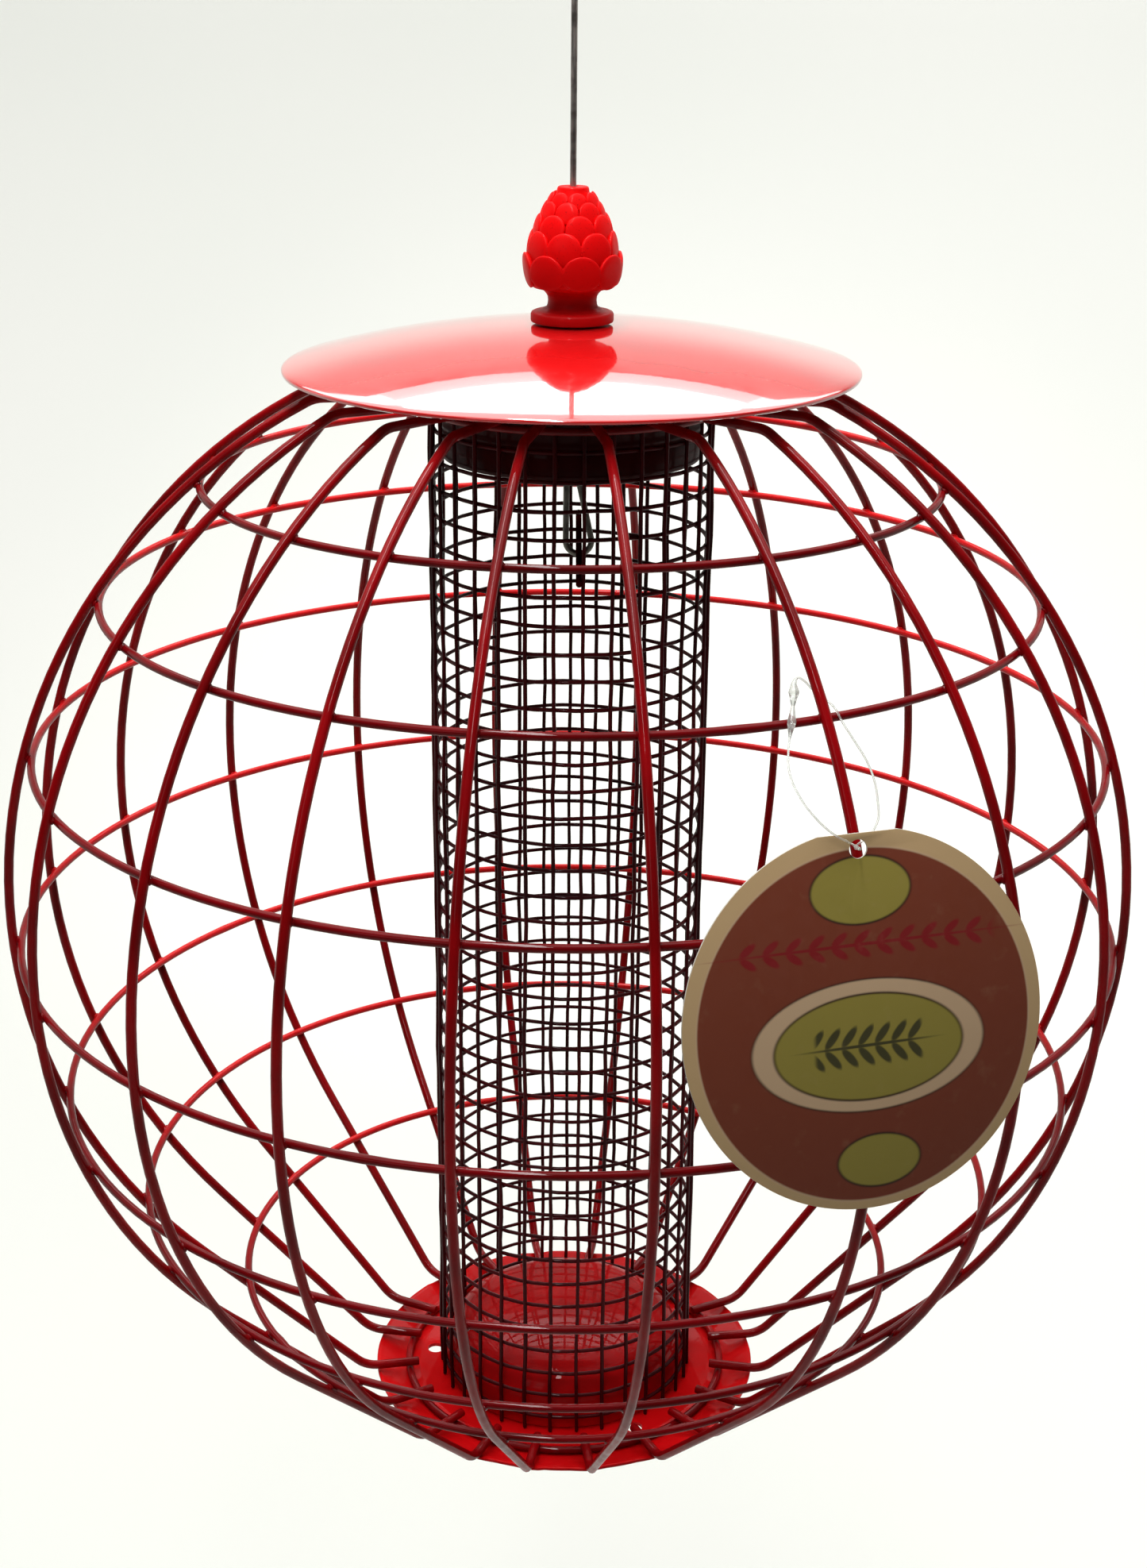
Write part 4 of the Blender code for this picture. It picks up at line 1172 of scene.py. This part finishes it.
@dataclass
class Lid:
    """The shallow lid with its plug, threaded nipple, washer and nut."""

    radius: float = 64.0 * MM
    crown: float = -92.4 * MM
    fall: float = 9.1 * MM
    sheet: float = 1.0 * MM
    bore: float = 2.8 * MM
    face_radii: tuple[float, ...] = (2.8, 6.0, 12.0, 20.0, 28.0, 36.0, 44.0, 51.0, 57.0, 61.0, 63.0)
    # The rolled rim's outline, counted from the edge of the face
    rim: tuple[Point, ...] = ((63.7, 0.0), (63.95, -0.2), (64.0, -0.5), (63.9, -0.85), (63.5, -1.0))
    plug_foot: float = -121.7 * MM
    plug_flange: float = 36.99 * MM
    plug_sheet: float = 0.8 * MM
    # The plug's outline from the bore round to the flange, and inside back to the bore
    plug_outside: tuple[Point, ...] = (
        (4.5, 0.0), (20.0, 0.0), (28.0, 0.0), (29.0, 0.3), (29.5, 0.9), (29.6, 1.7), (29.6, 6.2),
        (29.25, 6.8), (29.25, 7.4), (29.6, 8.0), (29.6, 15.3), (29.9, 15.6), (36.59, 15.6), (36.99, 16.0))
    plug_inside: tuple[Point, ...] = (
        (36.19, 16.4), (28.8, 16.4), (28.8, 1.7), (28.0, 0.8), (20.0, 0.8), (4.5, 0.8))
    nipple_foot: float = -99.1 * MM
    nipple_length: float = 15.0 * MM
    nipple_radius: float = 2.5 * MM
    cable_bore: float = 1.15 * MM
    thread_pitch: float = 1.0 * MM
    thread_depth: float = 0.26 * MM
    thread_start: float = 0.6 * MM
    thread_end: float = 14.1 * MM
    washer_edge: float = 0.15 * MM
    nut_edge: float = 0.3 * MM
    nut_sides: int = 6
    bore_sides: int = 32
    lid_steps: int = 180
    plug_steps: int = 96
    thread_steps: int = 40
    washer_steps: int = 48

    def face(self, radius: float) -> float:
        """The height of the lid's upper face at a radius."""
        return self.crown - self.fall * (radius / self.radius) ** 2

    def spin_lid(self) -> Object:
        """Spins the lid with its rolled rim."""
        upper = [(radius * MM, self.face(radius * MM)) for radius in self.face_radii]
        rim = [(radius, self.face(self.radius) + height) for radius, height in metres(self.rim)]
        lower = [(radius, height - self.sheet) for radius, height in reversed(upper)]
        return smooth(lathe("spun_lid", upper + rim + lower, self.lid_steps, closed=True), angle=50.0)

    def press_plug(self) -> Object:
        """Spins the plug with its flange, rolled edges and a pressed bead."""
        top = self.face(self.plug_flange) - self.sheet - SEAT_GAP - self.plug_foot
        lip = [(self.plug_flange, top), (self.plug_flange - self.plug_sheet, top)]
        profile = metres(self.plug_outside) + lip + metres(self.plug_inside)
        plug = lathe("pressed_plug", profile, self.plug_steps, closed=True, foot=self.plug_foot)
        return smooth(plug, angle=45.0)

    def turn_nipple(self) -> Object:
        """Turns the nipple with rounded thread crests along it."""
        crest, root, end = self.nipple_radius, self.nipple_radius - self.thread_depth, self.nipple_length
        neck = self.nipple_radius - 0.5 * MM
        profile = [(self.cable_bore, 0.0), (neck, 0.0), (root, self.thread_start / 2)]
        height = self.thread_start
        while height < self.thread_end:
            profile += [(crest, height), (root, height + self.thread_pitch / 2)]
            height += self.thread_pitch
        profile += [(neck, end), (self.cable_bore, end)]
        nipple = lathe("threaded_nipple", profile, self.thread_steps, closed=True, foot=self.nipple_foot)
        return smooth(nipple, angle=30.0)

    def stamp_washer(self) -> Object:
        """Spins the washer with stamped edges."""
        low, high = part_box("lid_washer")
        foot, top, reach, edge = low.z, high.z, high.x, self.washer_edge
        profile = [
            (self.bore, foot), (reach - edge, foot), (reach, foot + edge), (reach, top - edge),
            (reach - 1.5 * edge, top), (self.bore + edge, top), (self.bore, top - edge)]
        return smooth(lathe("stamped_washer", profile, self.washer_steps, closed=True), angle=30.0)

    def make_nut(self) -> Object:
        """Shapes a hexagon nut: a blank with broken edges, turned and bored."""
        low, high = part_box("lid_nut")
        nut = prism("hex_nut", high.x, self.nut_sides, UP * low.z, high.z - low.z)
        with opened(nut):
            bpy.ops.mesh.bevel(offset=self.nut_edge, segments=2, affect="EDGES")
        nut.data.transform(Matrix.Rotation(math.pi / self.nut_sides, 4, "Z"))
        drill(nut, self.bore, self.bore_sides, UP * (low.z - MM), 2 * (high.z - low.z))
        return smooth(nut, angle=30.0)

    def build(self) -> None:
        """Makes the lid and what is fixed to it."""
        zinc = ZINC.material()
        hand_over(self.spin_lid(), Body.LID, "lid_paint", "lid", material=LID_ENAMEL.material())
        hand_over(self.press_plug(), Body.LID, "plug_paint", "lid_plug", material=PLUG_ENAMEL.material())
        hand_over(self.turn_nipple(), Body.LID, "hardware", "lid_nipple", material=zinc)
        hand_over(self.stamp_washer(), Body.LID, "hardware", "lid_washer", material=zinc)
        hand_over(self.make_nut(), Body.LID, "hardware", "lid_nut", material=zinc)


@dataclass
class Finial:
    """The cone finial: a turned core on a two-step foot, covered in scales."""

    foot: float = -92.1 * MM
    scales: int = 8
    turn: float = math.radians(11.0)
    # A scale's outer half is this much thinner than its inner half
    face_share: float = 0.45
    # A ball's half is what lies this far past its middle
    half: float = 0.01
    core_steps: int = 64
    # Each row: height of the tips, their radius, a scale's width, length and thickness, its lean
    rows: tuple[tuple[float, float, float, float, float, float], ...] = (
        (15.2, 10.6, 9.0, 7.7, 3.4, -10.0),
        (19.9, 8.75, 7.8, 7.2, 3.2, 6.0),
        (23.4, 7.2, 6.4, 6.0, 2.8, 13.0),
        (26.0, 5.6, 5.1, 4.8, 2.4, 19.0),
        (27.9, 4.3, 4.0, 3.8, 1.9, 24.0))
    # The core's outline: foot, neck, belly and top, then down the bore to the nipple's socket
    outline: tuple[Point, ...] = (
        (2.8, 0.0), (8.6, 0.0), (9.0, 0.15), (9.15, 0.5), (9.15, 1.8), (8.95, 2.2), (8.4, 2.45),
        (7.4, 2.6), (6.6, 2.75), (6.35, 3.05), (5.7, 3.3), (5.45, 3.9), (5.35, 4.8), (5.45, 5.7),
        (5.85, 6.35), (6.5, 7.0), (7.4, 7.3), (8.6, 7.6), (9.3, 8.1), (9.75, 8.9), (10.0, 10.2),
        (10.15, 11.6), (9.5, 13.2), (8.7, 14.8), (8.5, 17.0), (7.6, 19.0), (7.0, 20.5), (6.8, 21.4),
        (6.0, 22.8), (5.4, 24.0), (5.1, 24.9), (4.4, 26.0), (4.0, 26.9), (3.6, 27.6), (3.45, 28.5),
        (3.3, 28.85), (3.0, 29.0), (1.15, 29.0), (1.15, 8.3), (2.8, 8.3))

    def shape_scale(self, width: float, length: float, thick: float) -> Object:
        """Shapes one scale from a ball: round lip, flattened face, long tucked root.

        Args:
            width: The scale's width.
            length: Its height.
            thick: Its thickness.

        Returns:
            The scale, its lip at the origin and its face towards -Y.
        """
        clear_bench()
        bpy.ops.mesh.primitive_uv_sphere_add(segments=24, ring_count=16, radius=0.5)
        scale = settle(bpy.context.object, "scale")
        with opened(scale):
            pick(scale, lambda co: co.z < -self.half)
            bpy.ops.transform.resize(value=(1.0, 1.0, 2 * length / width - 1.0), center_override=ORIGIN)
            pick(scale, lambda co: co.y < -self.half)
            bpy.ops.transform.resize(value=(1.0, self.face_share, 1.0), center_override=ORIGIN)
            select_all()
            bpy.ops.transform.translate(value=(0.0, 0.0, -0.5))
            bpy.ops.transform.resize(value=(width, thick, width), center_override=ORIGIN)
            close_up()
        return scale

    def build(self) -> None:
        """Makes the finial with its rows of scales, every second row set off by half a scale."""
        parts = [lathe("finial_core", metres(self.outline), self.core_steps, closed=True)]
        for row, (tip, reach, width, length, thick, lean) in enumerate(self.rows):
            pattern = self.shape_scale(width * MM, length * MM, thick * MM)
            for index in range(self.scales):
                azimuth = math.tau * (index + 0.5 * (row % 2)) / self.scales + self.turn
                place = outward(azimuth) * (reach * MM) + UP * (tip * MM)
                turn = Matrix.Rotation(azimuth, 4, "Z") @ Matrix.Rotation(-math.radians(lean), 4, "X")
                parts.append(copy_of(pattern, f"scale_{row}_{index}", Matrix.Translation(place) @ turn))
            bpy.data.objects.remove(pattern)
        finial = smooth(joined("cone_finial", parts), angle=50.0)
        finial.data.transform(raised(self.foot))
        hand_over(finial, Body.LID, "finial_paint", "finial", material=FINIAL_PAINT.material())


# The tag


@dataclass
class HangTag:
    """The round card and the clear tie that it hangs on."""

    radius: float = 36.6 * MM
    card: float = 0.5 * MM
    azimuth: float = math.radians(17.2)
    lean: float = math.radians(12.9)
    hole_radius: float = 1.8 * MM
    hole_offset: float = 32.7 * MM
    flat_offset: float = 35.7 * MM
    worn_edge: float = 0.07 * MM
    worn_angle: float = math.radians(50.0)
    card_sides: int = 160
    hole_sides: int = 40
    # How squarely a face looks forwards or back to count as the card's front or back
    face_turn: float = 0.7
    hole: tuple[float, float, float] = (53.962 * MM, -110.746 * MM, -172.084 * MM)
    pivot: tuple[float, float, float] = (47.782 * MM, -94.511 * MM, -148.575 * MM)
    tie_azimuth: float = math.radians(26.82)
    tie_wire: float = 0.4 * MM
    tie_drop: float = 23.3 * MM
    # The tie's route from its pivot on the ring, as shares of its drop: right, out and up.
    # The last number says how many times its wire's thickness it has there.
    route: tuple[tuple[float, float, float, float], ...] = (
        (-0.322, 0.069, -0.112, 4.4), (-0.266, -0.009, -0.009, 1.6), (-0.245, -0.039, 0.034, 3.2),
        (-0.219, -0.077, 0.086, 5.2), (-0.189, -0.124, 0.146, 2.4), (-0.137, -0.159, 0.172, 1.0),
        (-0.069, -0.167, 0.137, 1.0), (0.004, -0.155, 0.060, 1.0), (0.077, -0.086, -0.009, 1.0),
        (0.120, 0.017, -0.069, 1.0), (0.133, 0.112, -0.155, 1.0), (0.172, 0.240, -0.283, 1.0),
        (0.223, 0.373, -0.438, 1.0), (0.240, 0.468, -0.579, 1.0), (0.232, 0.540, -0.725, 1.0),
        (0.189, 0.614, -0.867, 1.0), (0.064, 0.652, -0.970, 1.0), (-0.077, 0.702, -1.012, 1.0),
        (-0.094, 0.800, -0.987, 1.0), (-0.197, 0.785, -0.918, 1.0), (-0.307, 0.742, -0.851, 1.0),
        (-0.470, 0.653, -0.677, 1.0), (-0.512, 0.505, -0.552, 1.0), (-0.507, 0.363, -0.430, 1.0),
        (-0.451, 0.240, -0.309, 1.0), (-0.386, 0.150, -0.215, 1.0))

    def place(self) -> Matrix:
        """The card's place: its right, its rise and its normal, hung by the hole."""
        normal = outward(self.azimuth) * math.cos(self.lean) + UP * math.sin(self.lean)
        side = rightward(self.azimuth)
        rise = normal.cross(side)
        turn = Matrix((side, rise, normal)).transposed().to_4x4()
        return Matrix.Translation(Vector(self.hole) - rise * self.hole_offset) @ turn

    def punch_card(self) -> Object:
        """Punches the card: a disc with a flat top, a hole and worn edges."""
        disc = add_section("printed_card", self.radius, self.card_sides, UP * (-self.card / 2), UP)
        with opened(disc):
            bpy.ops.mesh.bisect(plane_co=Y_AXIS * self.flat_offset, plane_no=Y_AXIS, clear_outer=True)
            select_all()
            push_out(UP * self.card)
            close_up()
        below = Vector((0.0, self.hole_offset, -self.card))
        drill(disc, self.hole_radius, self.hole_sides, below, 3 * self.card)
        modify(
            disc, "BEVEL", width=self.worn_edge, segments=2, limit_method="ANGLE",
            angle_limit=self.worn_angle)
        with opened(disc):
            bpy.ops.mesh.quads_convert_to_tris()
        return smooth(disc, angle=35.0)

    def map_card(self, card: Object) -> None:
        """Lays the UV map on the card and gives front, back and edge their own slots."""
        span = 2 * self.radius
        while card.data.uv_layers:
            card.data.uv_layers.remove(card.data.uv_layers[0])
        layer = card.data.uv_layers.new(name="card")
        for polygon in card.data.polygons:
            facing = polygon.normal.z
            slot = 0 if facing > self.face_turn else (1 if facing < -self.face_turn else 2)
            polygon.material_index = slot
            for loop in polygon.loop_indices:
                co = card.data.vertices[card.data.loops[loop].vertex_index].co
                layer.data[loop].uv = (co.x / span + 0.5, co.y / span + 0.5)

    def draw_tie(self) -> Object:
        """Draws the clear tie as a smooth closed strand with its bead and barb."""
        right, out = rightward(self.tie_azimuth), outward(self.tie_azimuth)
        pivot = Vector(self.pivot)
        points = [pivot + (right * x + out * y + UP * z) * self.tie_drop for x, y, z, _ in self.route]
        tie = draw_curve("clear_tie", points)
        tie.data.bevel_depth = self.tie_wire / 2
        tie.data.bevel_resolution = 4
        tie.data.resolution_u = 8
        spline = tie.data.splines[0]
        spline.use_cyclic_u = True
        for knot, (*_, swell) in zip(spline.bezier_points, self.route):
            knot.radius = swell
        take_up(tie)
        bpy.ops.object.convert(target="MESH")
        with opened(tie):
            close_up()
        return smooth(tie, angle=60.0)

    def build(self) -> None:
        """Makes the card and the tie."""
        front = PrintedCard("card_print", 2 * self.radius).material()
        card = dress(self.punch_card(), front, CARD_BACK.material(), CARD_EDGE.material())
        self.map_card(card)
        card.data.transform(self.place())
        hand_over(card, Body.TAG, "tag_card", "hang_tag")
        hand_over(self.draw_tie(), Body.TIE, "clear_tie", "tag_tie", material=TIE_PLASTIC.material())


# The studio


@dataclass(frozen=True)
class Softbox:
    """One soft lamp. It points straight down, or at the globe's centre."""

    name: str
    place: tuple[float, float, float]
    size: Point
    # How bright its face is, where 1 is white
    radiance: float
    at_globe: bool = False

    def hang(self) -> None:
        """Hangs the lamp in its place."""
        light = bpy.data.lights.new(self.name, "AREA")
        light.shape = "RECTANGLE"
        light.size, light.size_y = self.size
        light.energy = self.radiance * math.pi * self.size[0] * self.size[1]
        item = bpy.data.objects.new(self.name, light)
        item.location = self.place
        aim = UP * GLOBE_LEVEL - item.location if self.at_globe else -UP
        item.rotation_euler = aim.to_track_quat("-Z", "Y").to_euler()
        bpy.context.scene.collection.objects.link(item)


SOFTBOXES = (
    Softbox("overhead", (0.0, 0.51, 0.78), (1.6, 1.94), 1.8),
    Softbox("strip", (-0.10, -0.35, 0.75), (0.10, 1.3), 24.0),
    Softbox("window", (0.0, 1.06, 0.75), (0.66, 0.40), 3.4),
    Softbox("wing_left", (-0.63, 1.40, 0.80), (0.5, 0.45), 1.9, at_globe=True),
    Softbox("wing_right", (0.63, 1.40, 0.80), (0.5, 0.45), 1.9, at_globe=True),
    Softbox("front_fill", (-0.7, -1.2, 0.35), (0.5, 0.5), 0.8, at_globe=True))


@dataclass(frozen=True)
class SweepPaper:
    """Pale paper that keeps the shadow, and that the camera and gloss see brighter."""

    paper: Colour = (0.42, 0.42, 0.40)
    paper_shade: Colour = (0.40, 0.41, 0.385)
    mottle_scale: float = 2.2
    near: Colour = (0.51, 0.51, 0.475)
    far: Colour = (0.56, 0.56, 0.525)
    top: Colour = (0.53, 0.54, 0.50)
    # The high glow dims the wall towards its top; the spot glow is a painted pool of light about spot_place,
    # behind the feeder
    high: Colour = (0.09, 0.09, 0.085)
    spot: Colour = (0.74, 0.74, 0.70)
    edge: Colour = (0.84, 0.84, 0.81)
    spot_place: tuple[float, float, float] = (0.06, 1.08, -0.52)
    # Where each glow sets in and where it is full, along Y, Z or X or from a point
    gloss_span: Point = (-0.5, 0.1)
    far_span: Point = (0.25, 1.3)
    top_span: Point = (-0.6, 0.05)
    side_span: Point = (-0.2, 0.55)
    spot_span: Point = (0.15, 0.60)
    high_span: Point = (0.10, 0.55)
    edge_span: Point = (1.9, 3.2)
    side_share: float = 0.5
    spot_share: float = 0.9
    roughness: float = 0.95
    specular: float = 0.1

    def glow(self, recipe: Recipe) -> Socket:
        """The colour of the glow over the sweep."""
        spot = recipe.space["Object"]
        x, y, z = recipe.parts_of(spot)
        glow = recipe.tint(recipe.ramp(y, *self.far_span), self.near, self.far)
        glow = recipe.tint(recipe.ramp(z, *self.top_span), glow, self.top)
        glow = recipe.tint(recipe.ramp(x, *self.side_span, 0.0, self.side_share), glow, self.spot)
        reach = recipe.node("ShaderNodeVectorMath", {0: spot, 1: self.spot_place}, operation="DISTANCE")
        share = recipe.ramp(reach.outputs["Value"], *self.spot_span, self.spot_share, 0.0)
        glow = recipe.tint(share, glow, self.spot)
        glow = recipe.tint(recipe.ramp(z, *self.high_span), glow, self.high)
        reach = recipe.node("ShaderNodeVectorMath", {0: spot}, operation="LENGTH")
        return recipe.tint(recipe.ramp(reach.outputs["Value"], *self.edge_span), glow, self.edge)

    def material(self) -> Material:
        """Mottled paper with the glow added for rays that see it."""
        recipe = Recipe(bpy.data.materials.new("pale_sweep"))
        mottle = recipe.spread(self.mottle_scale, 0.0, 1.0, 2.0)
        recipe.fill(recipe.shader, {
            "Base Color": recipe.tint(mottle, self.paper, self.paper_shade), "Roughness": self.roughness,
            "Specular IOR Level": self.specular})
        rays = recipe.node("ShaderNodeLightPath").outputs
        near = recipe.ramp(recipe.parts_of(recipe.space["Object"])["Y"], *self.gloss_span)
        seen = recipe.reckon("MULTIPLY", near, rays["Is Glossy Ray"])
        for name in ("Is Camera Ray", "Is Transmission Ray"):
            seen = recipe.reckon("MAXIMUM", seen, rays[name])
        lit = recipe.node("ShaderNodeEmission", {"Color": self.glow(recipe), "Strength": seen})
        total = recipe.node("ShaderNodeAddShader", {0: recipe.shader.outputs[0], 1: lit.outputs[0]})
        recipe.fill(recipe.tree.nodes["Material Output"], {"Surface": total.outputs[0]})
        return recipe.owner


@dataclass
class Studio:
    """The pale sweep, the room round it and the camera."""

    floor_level: float = -0.62
    front_end: float = -3.0
    wall_place: float = 1.5
    wall_height: float = 2.6
    width: float = 7.0
    sweep_radius: float = 0.55
    sweep_steps: int = 24
    sky: Colour = (0.95, 0.96, 0.93)
    sky_glow: float = 0.9
    front_glow: float = 0.04
    back_glow: float = 0.8
    room_span: Point = (-0.1, 0.5)
    camera_place: tuple[float, float, float] = (0.0, -500.96 * MM, -15.8 * MM)
    pitch: float = 0.3532370
    yaw: float = 0.0023234
    roll: float = 0.0084924
    focal_pixels: float = 2841.88
    picture_height: float = 1975.0
    sensor: float = 36.0

    def sweep(self) -> None:
        """Lays the floor and bends it up into the backdrop."""
        clear_bench()
        bpy.ops.mesh.primitive_plane_add(size=1.0, location=UP * self.floor_level)
        floor = settle(bpy.context.object, "studio_sweep")
        bend = self.wall_place - self.sweep_radius
        with opened(floor):
            bpy.ops.transform.resize(value=(self.width, 1.0, 1.0))
            pick(floor, lambda co: co.y < 0.0)
            bpy.ops.transform.translate(value=Y_AXIS * (self.front_end + 0.5))
            pick(floor, lambda co: co.y > 0.0)
            bpy.ops.transform.translate(value=Y_AXIS * (bend - 0.5))
            centre = (0.0, bend, self.floor_level + self.sweep_radius)
            bpy.ops.mesh.spin(
                steps=self.sweep_steps, dupli=False, angle=-math.pi / 2, center=centre, axis=X_AXIS)
            bpy.ops.mesh.extrude_edges_move(TRANSFORM_OT_translate={"value": UP * self.wall_height})
        dress(smooth(floor, angle=60.0), SweepPaper().material())

    def room(self) -> None:
        """Sets pale surroundings behind the feeder and a dark room in front of it."""
        recipe = Recipe(bpy.data.worlds.new("studio_room"))
        ahead = recipe.parts_of(recipe.space["Generated"])["Y"]
        depth = recipe.ramp(ahead, *self.room_span, self.front_glow, self.back_glow, "LINEAR")
        rays = recipe.node("ShaderNodeLightPath").outputs
        level = recipe.node("ShaderNodeMix", {0: rays["Is Camera Ray"], 2: depth, 3: self.sky_glow})
        recipe.fill(recipe.shader, {"Color": self.sky, "Strength": level.outputs[0]})
        bpy.context.scene.world = recipe.owner

    def camera(self) -> None:
        """Sets the camera where the picture was taken."""
        cos_pitch, sin_pitch = math.cos(self.pitch), math.sin(self.pitch)
        ahead = Vector((math.sin(self.yaw) * cos_pitch, math.cos(self.yaw) * cos_pitch, -sin_pitch))
        right = Vector((math.cos(self.yaw), -math.sin(self.yaw), 0.0))
        up = right.cross(ahead)
        cos_roll, sin_roll = math.cos(self.roll), math.sin(self.roll)
        across = right * cos_roll + up * sin_roll
        upward = up * cos_roll - right * sin_roll
        data = bpy.data.cameras.new("camera")
        data.sensor_width = self.sensor
        data.lens = self.focal_pixels * self.sensor / self.picture_height
        data.clip_start = 0.01
        data.clip_end = 50.0
        item = bpy.data.objects.new("camera", data)
        bpy.context.scene.collection.objects.link(item)
        turn = Matrix((across, upward, -ahead)).transposed().to_4x4()
        item.matrix_world = Matrix.Translation(self.camera_place) @ turn
        bpy.context.scene.camera = item

    def build(self) -> None:
        """Makes the studio."""
        self.camera()
        self.sweep()
        for softbox in SOFTBOXES:
            softbox.hang()
        self.room()
        bpy.context.scene.view_settings.view_transform = "Standard"


def main() -> None:
    """Builds every piece in order."""
    logging.basicConfig(level=logging.INFO, format="%(name)s: %(message)s")
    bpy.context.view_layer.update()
    cage = Cage()
    Studio().build()
    Hanging().build()
    cage.build_ribs()
    cage.build_rings()
    BasePlate(cage).build()
    MeshTube().build()
    Lid().build()
    Finial().build()
    HangTag().build()
    bpy.context.view_layer.update()


if __name__ == "__main__":
    main()
